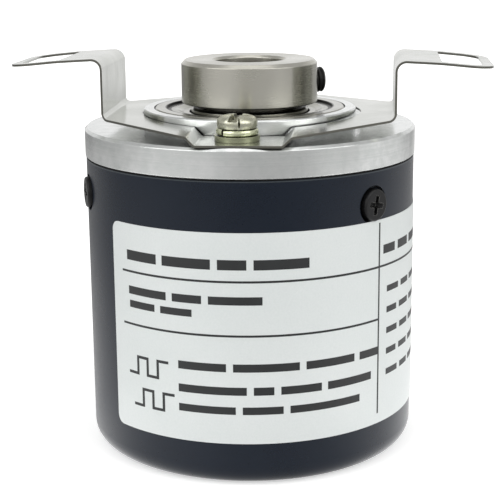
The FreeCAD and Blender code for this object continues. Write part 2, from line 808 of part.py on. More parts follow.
def retaining_ring():
    """Internal circlip under the lower bearing, with an eye at each end."""
    outer = bearing_radius + retainer_groove
    inner = outer - retainer_width
    bottom = bearings_bottom - retainer_thickness
    ring = open_ring(outer, inner, bottom, bearings_bottom, retainer_opening, 180)
    for side in (-1, 1):
        azimuth = math.radians(180 + side * (retainer_opening + retainer_eye_turn) / 2)
        x = retainer_eye_circle * math.cos(azimuth)
        y = retainer_eye_circle * math.sin(azimuth)
        ring = ring.fuse(cylinder(retainer_eye_radius, bottom, bearings_bottom, x, y))
        ring = ring.cut(cylinder(retainer_eye_hole, bottom - overcut, bearings_bottom + overcut, x, y))
    return [ring]


def inner_spacer():
    """Sleeve between the two inner rings."""
    outer = inner_ring_radius - spacer_step
    return [tube(outer, seat_radius, lower_face, upper_face - bearing_width)]


def shaft_circlip():
    """External circlip under the lower inner ring."""
    inner = seat_radius - circlip_groove
    return [open_ring(inner + circlip_width, inner, circlip_bottom, bearings_bottom, circlip_opening, 0)]


def hollow_shaft():
    """Shaft with its clamping hub in front, turned from one piece, with a blind bore."""
    shaft = turned([
        (0, shaft_bottom), (seat_radius - shaft_chamfer, shaft_bottom),
        (seat_radius, shaft_bottom + shaft_chamfer),
        (seat_radius, circlip_bottom), (seat_radius - circlip_groove, circlip_bottom),
        (seat_radius - circlip_groove, bearings_bottom), (seat_radius, bearings_bottom),
        (seat_radius, upper_face), (neck_radius, upper_face), (neck_radius, hub_bottom),
        (hub_radius - hub_rear_chamfer, hub_bottom), (hub_radius, hub_bottom + hub_rear_chamfer),
        (hub_radius, hub_top - hub_chamfer), (hub_radius - hub_chamfer, hub_top),
        (bore_radius + bore_chamfer, hub_top), (bore_radius, hub_top - bore_chamfer),
        (bore_radius, bore_bottom), (0, bore_bottom - bore_point),
    ])
    hole = cylinder(set_screw_radius + set_screw_clearance, bore_radius / 2, hub_radius + overcut)
    return [cut_all(shaft, [pointing_outwards(hole, azimuth, set_screw_z)
                            for azimuth in set_screw_azimuths.values()])]


def set_screw(azimuth):
    """Grub screw with a hexagon socket, standing a little out of the hub."""
    outer = hub_radius + set_screw_stand
    inner = bore_radius + set_screw_back
    tip = set_screw_tip
    chamfer = set_screw_chamfer
    screw = turned([(0, inner), (set_screw_radius - tip, inner), (set_screw_radius, inner + tip),
                    (set_screw_radius, outer - chamfer), (set_screw_radius - chamfer, outer), (0, outer)])
    socket = hexagon(set_screw_socket, outer - set_screw_socket_depth, outer + overcut)
    return [pointing_outwards(screw.cut(socket), azimuth, set_screw_z)]


def disc_hub():
    """Bush on the shaft's end, with the seat that carries the code disc."""
    seat_top = disc_top + disc_seat_thickness
    hub = turned([
        (seat_radius, disc_top), (disc_seat_radius, disc_top), (disc_seat_radius, seat_top),
        (seat_radius + disc_hub_sleeve, seat_top), (seat_radius + disc_hub_sleeve, disc_hub_top),
        (seat_radius, disc_hub_top),
    ])
    thread_end = clamp_bottom + clamp_screw_length + thread_spare
    thread = cylinder(clamp_screw_radius, disc_top - overcut, thread_end, clamp_screw_circle)
    return [cut_all(hub, around(thread, clamp_screw_count, clamp_screw_azimuth))]


def code_disc():
    """Thin disc with a ring of radial slits."""
    disc = tube(disc_radius, seat_radius + disc_play, disc_bottom, disc_top)
    pitch = 2 * math.pi * track_radius / slit_count
    half = pitch * slit_share / 2
    slit = block(slit_inner, slit_outer, -half, half, disc_bottom - overcut, disc_top + overcut)
    hole = cylinder(clamp_screw_radius + small_hole_play, disc_bottom - overcut, disc_top + overcut,
                    clamp_screw_circle)
    holes = around(hole, clamp_screw_count, clamp_screw_azimuth)
    tools = Part.makeCompound(around(slit, slit_count) + holes)
    return [disc.cut(tools)]


def clamp_ring():
    """Ring that holds the code disc against its seat."""
    ring = tube(clamp_ring_radius, seat_radius + disc_play, clamp_bottom, disc_bottom)
    hole = cylinder(clamp_screw_radius + small_hole_play, clamp_bottom - overcut, disc_bottom + overcut,
                    clamp_screw_circle)
    return [cut_all(ring, around(hole, clamp_screw_count, clamp_screw_azimuth))]


def clamp_screws():
    """Small screws through the clamp ring into the disc hub."""
    screw = flat_screw(clamp_screw_radius, clamp_screw_length, clamp_screw_head_radius,
                       clamp_screw_head_height)
    screw.translate(V(clamp_screw_circle, 0, clamp_bottom))
    return around(screw, clamp_screw_count, clamp_screw_azimuth)


def lamp_holder():
    """Moulded block under the spigot that carries the lamp."""
    bottom = holder_underside
    body = block(holder_end, holder_end + holder_length, -holder_half_width, holder_half_width, bottom,
                 spigot_bottom)
    body = body.makeFillet(holder_corner, upright_edges(body))
    collar_bottom = spigot_bottom - lamp_top_gap - lamp_flange_thickness
    pocket = cylinder(lamp_radius, bottom - overcut, spigot_bottom, track_radius)
    collar = cylinder(lamp_radius + lamp_flange, collar_bottom, spigot_bottom + overcut, track_radius)
    tools = [pocket, collar]
    for side in (-1, 1):
        tools.append(cylinder(holder_screw_radius, bottom - overcut, spigot_bottom + overcut,
                              holder_screw_x, side * holder_screw_spread))
    return [cut_all(body, tools)]


def lamp():
    """Light source with a domed lens that looks down at the track."""
    top = spigot_bottom - lamp_top_gap
    rise = lamp_lens_height
    dome_radius = (lamp_radius ** 2 + rise ** 2) / (2 * rise)
    barrel = cylinder(lamp_radius, lens_bottom, top, track_radius)
    dome = Part.makeSphere(dome_radius, V(track_radius, 0, lens_bottom + dome_radius))
    above = cylinder(lamp_radius, lens_bottom + rise, top, track_radius)
    collar = cylinder(lamp_radius + lamp_flange, top - lamp_flange_thickness, top, track_radius)
    return [barrel.common(dome).fuse(above).fuse(collar).removeSplitter()]


def lamp_screws():
    """Screws that hold the lamp holder on the spigot."""
    bottom = holder_underside
    length = spigot_bottom - bottom + holder_screw_grip - thread_spare
    screws = []
    for side in (-1, 1):
        screw = flat_screw(holder_screw_radius, length, holder_screw_head_radius, holder_screw_head_height)
        screw.translate(V(holder_screw_x, side * holder_screw_spread, bottom))
        screws.append(screw)
    return screws


def scanning_mask():
    """Small glass plate with slits, between the disc and the detector."""
    plate = block(track_radius - mask_length / 2, track_radius + mask_length / 2, -mask_width / 2,
                  mask_width / 2, detector_top, mask_top)
    pitch = mask_width / (mask_slits + 1)
    for index in range(mask_slits):
        y = -mask_width / 2 + pitch * (index + 1)
        plate = plate.cut(block(slit_inner, slit_outer, y - mask_slit_width / 2, y + mask_slit_width / 2,
                                detector_top - overcut, mask_top + overcut))
    return [plate]


def detector():
    """Light receiver on the circuit board, under the track."""
    return [block(track_radius - detector_length / 2, track_radius + detector_length / 2,
                  -detector_width / 2, detector_width / 2, board_top, detector_top)]


def circuit_board():
    """Round board, screwed to the pillars."""
    board = cylinder(board_radius, board_bottom, board_top)
    hole = cylinder(board_screw_radius, board_bottom - overcut, board_top + overcut, pillar_circle)
    tools = around(hole, pillar_count, pillar_azimuth)
    for x in pin_places():
        tools.append(block(x - pin_half, x + pin_half, header_place - pin_half, header_place + pin_half,
                           board_bottom - overcut, board_top + overcut))
    return [cut_all(board, tools)]


def board_pillars():
    """Tubular pillars that carry the board under the spigot."""
    pillar = tube(pillar_radius, board_screw_radius, board_top, spigot_bottom)
    pillar.translate(V(pillar_circle, 0, 0))
    return around(pillar, pillar_count, pillar_azimuth)


def board_screws():
    """Screws through the board and the pillars into the spigot."""
    length = spigot_bottom - board_bottom + board_screw_length - thread_spare
    screw = flat_screw(board_screw_radius, length, board_screw_head_radius, board_screw_head_height)
    screw.translate(V(pillar_circle, 0, board_bottom))
    return around(screw, pillar_count, pillar_azimuth)


def signal_chip():
    """Square chip on the underside of the board."""
    return [block(-chip_side / 2, chip_side / 2, -chip_side / 2, chip_side / 2,
                  board_bottom - chip_height, board_bottom)]


def driver_chip():
    """Output driver on the underside of the board, beside the signal chip."""
    middle = -(chip_side / 2 + driver_gap + driver_width / 2)
    return [block(-driver_length / 2, driver_length / 2, middle - driver_width / 2,
                  middle + driver_width / 2, board_bottom - driver_height, board_bottom)]


def chip_capacitors():
    """Two rows of chip capacitors beside the signal chip."""
    parts = []
    per_row = capacitor_count // 2
    for side in (-1, 1):
        for index in range(per_row):
            y = (index - (per_row - 1) / 2) * capacitor_pitch
            x = side * (chip_side / 2 + capacitor_gap + capacitor_length / 2)
            parts.append(block(x - capacitor_length / 2, x + capacitor_length / 2, y - capacitor_width / 2,
                               y + capacitor_width / 2, board_bottom - capacitor_height, board_bottom))
    return parts


def pin_places():
    """X of each pin of the cable header."""
    return [(index - (pin_count - 1) / 2) * pin_pitch for index in range(pin_count)]


def cable_header():
    """Open header under the board that takes the cable's plug."""
    bottom = board_bottom - header_height
    outer = block(-header_length / 2, header_length / 2, header_place - header_width / 2,
                  header_place + header_width / 2, bottom, board_bottom)
    half_length = header_length / 2 - header_wall
    half_width = header_width / 2 - header_wall
    room = block(-half_length, half_length, header_place - half_width, header_place + half_width,
                 bottom - overcut, board_bottom - header_floor)
    tools = [room]
    for x in pin_places():
        tools.append(block(x - pin_half, x + pin_half, header_place - pin_half, header_place + pin_half,
                           bottom - overcut, board_bottom + overcut))
    return [cut_all(outer, tools)]


def header_pins():
    """Square pins through the header and the board."""
    return [block(x - pin_half, x + pin_half, header_place - pin_half, header_place + pin_half,
                  board_bottom - pin_below, board_top + pin_above) for x in pin_places()]


def cable_bushing():
    """Outlet bushing: thread through the cover, hexagon outside and a rounded nose."""
    face = outlet_face + outlet_gasket
    hex_end = face + outlet_hex_thickness
    thread_end = outlet_nut_face - outlet_nut_thickness - outlet_tail
    body = hexagon(outlet_hex, face, hex_end)
    corner = outlet_hex / math.cos(math.radians(30))
    chamfer = outlet_hex_chamfer
    crown = turned([(0, face), (corner - chamfer, face), (corner, face + chamfer),
                    (corner, hex_end - chamfer), (corner - chamfer, hex_end), (0, hex_end)])
    body = body.common(crown)
    nose_end = hex_end + outlet_nose
    round_start = nose_end - outlet_nose_round
    nose = turned([(0, hex_end), (outlet_nose_radius, hex_end),
                   (outlet_nose_radius, hex_end + outlet_nose_straight),
                   (outlet_nose_end + outlet_nose_round, round_start),
                   (outlet_nose_end, nose_end), (0, nose_end)])
    thread = cylinder(outlet_thread, thread_end, face)
    bore = cylinder(outlet_bore, thread_end - overcut, nose_end + overcut)
    return [pointing_outwards(body.fuse(nose).fuse(thread).cut(bore), 90, outlet_z)]


def bushing_gasket():
    """Rubber ring between the bushing's hexagon and the cover."""
    face = outlet_face
    ring = tube(outlet_hex, outlet_thread, face, face + outlet_gasket)
    return [pointing_outwards(ring, 90, outlet_z)]


def bushing_nut():
    """Nut on the bushing's thread, inside the cover."""
    face = outlet_nut_face
    nut = hexagon(outlet_nut_hex, face - outlet_nut_thickness, face)
    nut = nut.cut(cylinder(outlet_thread, face - outlet_nut_thickness - overcut, face + overcut))
    nut.rotate(ORIGIN, Z_AXIS, 90)
    return [pointing_outwards(nut, 90, outlet_z)]


def bearing_nodes(name, face):
    """The five nodes of one bearing."""
    return {
        name + "_outer_ring": outer_ring(face),
        name + "_inner_ring": inner_ring(face),
        name + "_balls": balls(face),
        name + "_cage": cage(face),
        name + "_shields": shields(face),
    }


def all_nodes():
    """Every node of the encoder, as a name and its list of solids."""
    nodes = {
        "mounting_flange": [mounting_flange()],
        "cover": [cover()],
        "cover_screws": cover_screws(),
        "cover_seal": cover_seal(),
        "label": label(),
        "spring_plate": spring_plate(),
        "plate_screws": plate_screws(),
        "lock_washers": lock_washers(),
        "flat_washers": flat_washers(),
        "retaining_ring": retaining_ring(),
        "inner_spacer": inner_spacer(),
        "shaft_circlip": shaft_circlip(),
        "hollow_shaft": hollow_shaft(),
        "disc_hub": disc_hub(),
        "code_disc": code_disc(),
        "clamp_ring": clamp_ring(),
        "clamp_screws": clamp_screws(),
        "lamp_holder": lamp_holder(),
        "lamp": lamp(),
        "lamp_screws": lamp_screws(),
        "scanning_mask": scanning_mask(),
        "detector": detector(),
        "circuit_board": circuit_board(),
        "board_pillars": board_pillars(),
        "board_screws": board_screws(),
        "signal_chip": signal_chip(),
        "driver_chip": driver_chip(),
        "chip_capacitors": chip_capacitors(),
        "cable_header": cable_header(),
        "header_pins": header_pins(),
        "cable_bushing": cable_bushing(),
        "bushing_gasket": bushing_gasket(),
        "bushing_nut": bushing_nut(),
    }
    nodes.update(bearing_nodes("upper", upper_face))
    nodes.update(bearing_nodes("lower", lower_face))
    for name, azimuth in set_screw_azimuths.items():
        nodes[name] = set_screw(azimuth)
    return nodes


os.makedirs("parts", exist_ok=True)
for name, solids in all_nodes().items():
    shape = solids[0] if len(solids) == 1 else Part.makeCompound(solids)
    shape.exportStep("parts/" + name + ".step")
    print(name, "solids", len(shape.Solids), "valid", shape.isValid(), "volume", round(shape.Volume, 2))
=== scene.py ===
import json
import logging
import math
from collections.abc import Callable, Sequence
from dataclasses import dataclass
from enum import Enum
from functools import partial
from typing import ClassVar

import bpy
from mathutils import Matrix, Vector

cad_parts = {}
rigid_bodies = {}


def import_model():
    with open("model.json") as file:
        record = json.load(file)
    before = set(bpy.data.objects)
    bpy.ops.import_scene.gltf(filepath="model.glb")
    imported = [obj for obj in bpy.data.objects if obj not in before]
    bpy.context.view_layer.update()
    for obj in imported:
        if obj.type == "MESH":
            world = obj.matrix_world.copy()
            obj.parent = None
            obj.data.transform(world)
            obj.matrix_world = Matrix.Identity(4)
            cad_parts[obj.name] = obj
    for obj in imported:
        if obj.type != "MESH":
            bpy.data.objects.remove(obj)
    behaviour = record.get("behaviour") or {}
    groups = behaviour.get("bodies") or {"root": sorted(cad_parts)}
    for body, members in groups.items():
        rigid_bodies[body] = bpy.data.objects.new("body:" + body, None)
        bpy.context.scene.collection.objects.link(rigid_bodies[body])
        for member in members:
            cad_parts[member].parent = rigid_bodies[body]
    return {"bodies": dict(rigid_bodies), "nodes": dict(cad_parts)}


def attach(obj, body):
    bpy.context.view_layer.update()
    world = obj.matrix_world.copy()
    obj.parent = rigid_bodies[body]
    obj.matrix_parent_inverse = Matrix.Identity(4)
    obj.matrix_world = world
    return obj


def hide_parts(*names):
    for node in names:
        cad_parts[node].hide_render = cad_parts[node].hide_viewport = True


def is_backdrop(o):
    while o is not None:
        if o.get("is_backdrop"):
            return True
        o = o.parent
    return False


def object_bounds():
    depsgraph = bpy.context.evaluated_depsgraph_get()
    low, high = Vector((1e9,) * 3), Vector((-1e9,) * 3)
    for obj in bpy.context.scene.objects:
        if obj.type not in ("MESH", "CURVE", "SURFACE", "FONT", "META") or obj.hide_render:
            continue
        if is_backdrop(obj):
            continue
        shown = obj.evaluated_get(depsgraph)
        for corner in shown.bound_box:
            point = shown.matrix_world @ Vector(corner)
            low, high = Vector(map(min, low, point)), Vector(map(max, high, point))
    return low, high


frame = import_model()

# The visual model of a hollow shaft rotary encoder, in metres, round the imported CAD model.
# The shaft runs along Z, its mouth is on top, and the spring plate's arms point along X.

log = logging.getLogger("encoder")
MM = 0.001
# Edges that turn by more than this stay sharp.
SHARP = math.radians(30)
# Keeps a quotient finite.
TINY = 1e-9
# How many outlines of a shank stand in one pitch of its thread.
PITCH_LAYERS = 8

Tree = bpy.types.NodeTree
Node = bpy.types.Node
Socket = bpy.types.NodeSocket
# A layer over a finish: the share where it shows, and its colour.
Layer = tuple[Node, str]
# A printed mark: its middle's way round and height, its length and its own height, in millimetres.
Mark = tuple[float, float, float, float]
# The points of one closed outline round Z.
Ring = list[tuple[float, float, float]]
# Places with the value at each.
Steps = tuple[tuple[float, float], ...]

# Blender's names of the kinds of node that are used most.
MATH = "ShaderNodeMath"
VECTORS = "ShaderNodeVectorMath"
RANGE = "ShaderNodeMapRange"
MIX = "ShaderNodeMix"
RAMP = "ShaderNodeValToRGB"
SPLIT = "ShaderNodeSeparateXYZ"
JOIN = "ShaderNodeCombineXYZ"


def linear(colour: str) -> tuple[float, float, float, float]:
    """Turns an sRGB hex colour into linear light.

    Args:
        colour: the colour as "#rrggbb".

    Returns:
        Red, green, blue and an alpha of 1.
    """
    shares = [int(colour[place:place + 2], 16) / 255 for place in (1, 3, 5)]
    light = [s / 12.92 if s <= 0.04045 else ((s + 0.055) / 1.055) ** 2.4 for s in shares]
    return light[0], light[1], light[2], 1.0


def fill(tree: Tree, node: Node, inputs: dict | Sequence) -> None:
    """Sets or links a node's inputs.

    Args:
        tree: the node's tree.
        node: the node.
        inputs: for each input's name or number a value, a socket, or a node that gives its first output.
    """
    for key, value in inputs.items() if isinstance(inputs, dict) else enumerate(inputs):
        if isinstance(value, Node):
            value = value.outputs[0]
        if isinstance(value, Socket):
            tree.links.new(value, node.inputs[key])
        else:
            node.inputs[key].default_value = value


def add_node(tree: Tree, kind: str, inputs: dict | Sequence = (), operation: str = "",
             **settings: object) -> Node:
    """Adds one node to a tree, with its settings and its inputs.

    Args:
        tree: the tree that gets the node.
        kind: Blender's name of the node's type.
        inputs: what fill takes.
        operation: what a node that calculates does.
        settings: the node's other properties.

    Returns:
        The new node.
    """
    node = tree.nodes.new(kind)
    if operation:
        node.operation = operation
    for name, value in settings.items():
        setattr(node, name, value)
    fill(tree, node, inputs)
    return node


def opened(owner: bpy.types.Material | bpy.types.World) -> Tree:
    """Gives a material's or world's own tree, emptied.

    Args:
        owner: the material or the world.

    Returns:
        The tree.
    """
    owner.use_nodes = True
    owner.node_tree.nodes.clear()
    return owner.node_tree


def linked(name: str, data: bpy.types.ID) -> bpy.types.Object:
    """Makes an object of a mesh, a lamp or a camera and links it to the scene.

    Args:
        name: the object's name.
        data: the mesh, lamp or camera.

    Returns:
        The new object.
    """
    thing = bpy.data.objects.new(name, data)
    bpy.context.scene.collection.objects.link(thing)
    return thing


def new_piece(name: str, points: Sequence, faces: Sequence) -> bpy.types.Object:
    """Makes an object from points in millimetres and faces, smooth except at its sharp edges.

    Args:
        name: the piece's name.
        points: its points.
        faces: the point numbers of each face.

    Returns:
        The new object.
    """
    mesh = bpy.data.meshes.new(name)
    mesh.from_pydata([Vector(point) * MM for point in points], [], faces)
    mesh.shade_smooth()
    mesh.set_sharp_from_angle(angle=SHARP)
    return linked(name, mesh)


class Surface(Enum):
    """How a surface was made, which gives the pattern on it."""

    TURNED = "rings round the shaft"
    ROLLED = "lines along the sheet"
    TUMBLED = "dents and scuffs all over"
    SPRAYED = "orange peel"
    MOULDED = "spark-eroded grain"
    WOVEN = "glass cloth under resin"


TURNED, ROLLED, TUMBLED, SPRAYED, MOULDED, WOVEN = Surface


@dataclass(frozen=True)
class Finish:
    """One real material and how its surface was made.

    Sizes are in millimetres. The grain is the pattern of making, and the patches are the slow changes of
    tone that handling leaves. The edge colour shows along sharp edges, where a finish wears through. The cut
    colour is that of a sheet's sheared edges. The seam is the height above which a painted black shadow
    darkens the surface where it meets the next piece, with a painted highlight line just below it. The reach
    of the painted corner shade is how far from a corner it darkens the surface, and the groove is the pair of
    reaches from the shaft's axis between which grease and painted shade darken the surface.
    """

    name: str
    colour: str
    second: str
    surface: Surface
    roughness: float
    metallic: float = 0.0
    spread: float = 0.08
    grain: float = 0.1
    relief: float = 0.001
    patch: float = 4.0
    round_edge: float = 0.08
    edge_colour: str | None = None
    cut_colour: str | None = None
    seam: float | None = None
    shade_reach: float | None = None
    groove: tuple[float, float] | None = None
    shader: tuple[tuple[str, float], ...] = ()


# Colours of the painted shade in corners, the grease with painted shade in a ring, the painted highlight line
# and the painted seam shadow.
CORNER_SHADE, GREASE_AND_SHADE, EDGE_HIGHLIGHT, SEAM_SHADOW = "#211f1b", "#2a2824", "#4d5355", "#010101"
# The painted seam shadow in millimetres: half its blur, the drop to the painted highlight line, and half that
# line's width.
SHADOW_BLUR, HIGHLIGHT_DROP, HIGHLIGHT_HALF = 0.03, 0.1, 0.05
# How strongly the painted highlight line shows.
HIGHLIGHT_SHARE = 0.6
# How many rays look for an edge, and how many for a corner.
EDGE_RAYS, CORNER_RAYS = 4, 6
# Blender's wave texture takes its coordinates this many times over.
WAVE_FACTOR = 20
# How a rolled sheet's pattern is drawn out along the sheet.
ROLLED_STRETCH = (0.03, 1.0, 0.03)
# How much rougher cut edges and the ring of grease and painted shade are than the surface beside them.
DULLED = 0.2
# How much of a surface's unevenness its grain gives. Its patches give the rest.
GRAIN_SHARE = 0.4


class Coat:
    """One finish as a Blender material, over whose ground the layers are laid in turn."""

    def __init__(self, finish: Finish) -> None:
        """Starts the material with the ground's tint and roughness.

        Args:
            finish: the finish to build.
        """
        self.finish = finish
        self.material = bpy.data.materials.new(finish.name)
        self.material.use_nodes = True
        self.tree = self.material.node_tree
        self.add = partial(add_node, self.tree)
        self.place = self.add("ShaderNodeTexCoord").outputs["Object"]
        self.grain = self.grain_pattern()
        self.bevel = self.add("ShaderNodeBevel", {"Radius": finish.round_edge * MM}, samples=EDGE_RAYS)
        patches = self.add("ShaderNodeTexNoise", {
            "Vector": self.place, "Scale": 1 / (finish.patch * MM), "Detail": 3.0, "Roughness": 0.55})
        weak = self.add(MATH, (patches, 1 - GRAIN_SHARE), "MULTIPLY")
        uneven = self.add(MATH, (self.grain, GRAIN_SHARE, weak), "MULTIPLY_ADD")
        share = self.add(RANGE, {"Value": uneven, "From Min": 0.35, "From Max": 0.65})
        self.tint = self.add(MIX, {"Factor": share, 6: linear(finish.colour), 7: linear(finish.second)},
                             data_type="RGBA").outputs[2]
        self.rough = self.add(RANGE, {
            "Value": uneven, "From Min": 0.3, "From Max": 0.7,
            "To Min": finish.roughness - finish.spread, "To Max": finish.roughness + finish.spread})

    def build(self) -> bpy.types.Material:
        """Lays every layer that the finish names over the ground.

        Returns:
            The material.
        """
        finish = self.finish
        for named, layer in ((finish.edge_colour, self.worn_edges), (finish.cut_colour, self.cut_edges),
                             (finish.seam, self.painted_seam_shadow), (finish.shade_reach, self.painted_corner_shade),
                             (finish.groove, self.grease_and_shade_ring)):
            for share, colour in layer() if named is not None else ():
                self.tint = self.add(MIX, {"Factor": share, 6: self.tint, 7: linear(colour)},
                                     data_type="RGBA").outputs[2]
        bump = self.add("ShaderNodeBump", {"Strength": 1.0, "Distance": finish.relief * MM,
                                           "Height": self.grain, "Normal": self.bevel})
        shader = self.tree.nodes["Principled BSDF"]
        fill(self.tree, shader, {"Metallic": finish.metallic, **dict(finish.shader), "Base Color": self.tint,
                                 "Roughness": self.rough, "Normal": bump})
        if finish.surface is TURNED:
            lines = self.add("ShaderNodeTangent", direction_type="RADIAL", axis="Z")
            fill(self.tree, shader, {"Tangent": lines})
        return self.material

    def worn_edges(self) -> list[Layer]:
        """Gives the edge colour along the sharp edges, broken up by the grain.

        Returns:
            The share where it shows, with its colour.
        """
        normal = self.add("ShaderNodeNewGeometry").outputs["Normal"]
        lean = self.add(VECTORS, (self.bevel, normal), "DOT_PRODUCT").outputs["Value"]
        near = self.add(RANGE, {"Value": lean, "From Min": 0.995, "From Max": 0.85})
        broken = self.add(RANGE, {"Value": self.grain, "From Min": 0.35, "From Max": 0.6})
        return [(self.add(MATH, (near, broken), "MULTIPLY"), self.finish.edge_colour)]

    def cut_edges(self) -> list[Layer]:
        """Makes the sheared edges of a sheet darker and duller than its rolled faces.

        The sheet is bent only about Y, so that a face whose normal leans along Y is a cut edge.

        Returns:
            The share where it shows, with its colour.
        """
        normal = self.add("ShaderNodeNewGeometry").outputs["True Normal"]
        lean = self.add(MATH, (self.add(SPLIT, (normal,)).outputs["Y"],), "ABSOLUTE")
        share = self.add(RANGE, {"Value": lean, "From Min": 0.3, "From Max": 0.4})
        self.rough = self.add(MATH, (share, DULLED, self.rough), "MULTIPLY_ADD")
        return [(share, self.finish.cut_colour)]

    def painted_seam_shadow(self) -> list[Layer]:
        """Paints a highlight line just below the seam's height and a black shadow above it, where the cup
        meets the flange.

        Returns:
            The share where the painted highlight and the painted shadow show, each with its colour.
        """
        height, seam = self.add(SPLIT, (self.place,)).outputs["Z"], self.finish.seam
        highlight_band = self.add(MATH, (height, (seam - HIGHLIGHT_DROP) * MM, HIGHLIGHT_HALF * MM), "COMPARE")
        share = self.add(RANGE, {
            "Value": height, "From Min": (seam - SHADOW_BLUR) * MM, "From Max": (seam + SHADOW_BLUR) * MM})
        self.rough = self.add(MATH, (self.rough, share), "MAXIMUM")
        return [(self.add(MATH, (highlight_band, HIGHLIGHT_SHARE), "MULTIPLY"), EDGE_HIGHLIGHT), (share, SEAM_SHADOW)]

    def painted_corner_shade(self) -> list[Layer]:
        """Paints shade into the corners and cracks, the darker the more they are hemmed in.

        Returns:
            The share where it shows, with its colour.
        """
        light = self.add("ShaderNodeAmbientOcclusion", {"Distance": self.finish.shade_reach * MM},
                         samples=CORNER_RAYS)
        share = self.add(RANGE, {"Value": light.outputs["AO"], "From Min": 0.2, "From Max": 0.75,
                                 "To Min": 1.0, "To Max": 0.0})
        return [(share, CORNER_SHADE)]

    def grease_and_shade_ring(self) -> list[Layer]:
        """Darkens a ring round the shaft with grease and painted shade, and dulls it as the grease in a groove
        does.

        Returns:
            The share where it shows, with its colour.
        """
        inner, outer = self.finish.groove
        flat = self.add(VECTORS, (self.place, (1.0, 1.0, 0.0)), "MULTIPLY")
        reach = self.add(VECTORS, (flat,), "LENGTH").outputs["Value"]
        share = self.add(MATH, (reach, (inner + outer) / 2 * MM, (outer - inner) / 2 * MM),
                         "COMPARE")
        self.rough = self.add(MATH, (share, DULLED, self.rough), "MULTIPLY_ADD")
        return [(share, GREASE_AND_SHADE)]

    def grain_pattern(self) -> Socket:
        """Gives the pattern that the way of making leaves, from 0 to 1.

        Returns:
            The pattern's socket.
        """
        add, place, surface = self.add, self.place, self.finish.surface
        scale = 1 / (self.finish.grain * MM)
        if surface is WOVEN:
            waves = [add("ShaderNodeTexWave", {"Vector": place, "Scale": scale / WAVE_FACTOR},
                         bands_direction=axis).outputs["Fac"] for axis in ("X", "Y")]
            return add(MATH, waves, "MULTIPLY").outputs[0]
        if surface is TURNED:
            x, y, z = add(SPLIT, (place,)).outputs
            reach = add(VECTORS, (add(JOIN, (x, y)),), "LENGTH").outputs["Value"]
            place = add(JOIN, (reach, z))
        if surface is ROLLED:
            place = add(VECTORS, (place, ROLLED_STRETCH), "MULTIPLY")
        return add("ShaderNodeTexNoise", {
            "Vector": place, "Scale": scale, "Detail": 1.0 if surface is SPRAYED else 4.0,
            "Roughness": 0.6}).outputs["Fac"]


# How strongly a turned surface's rings draw out what it mirrors, across them.
LATHE_LINES = (("Anisotropic", 0.6), ("Anisotropic Rotation", 0.25))
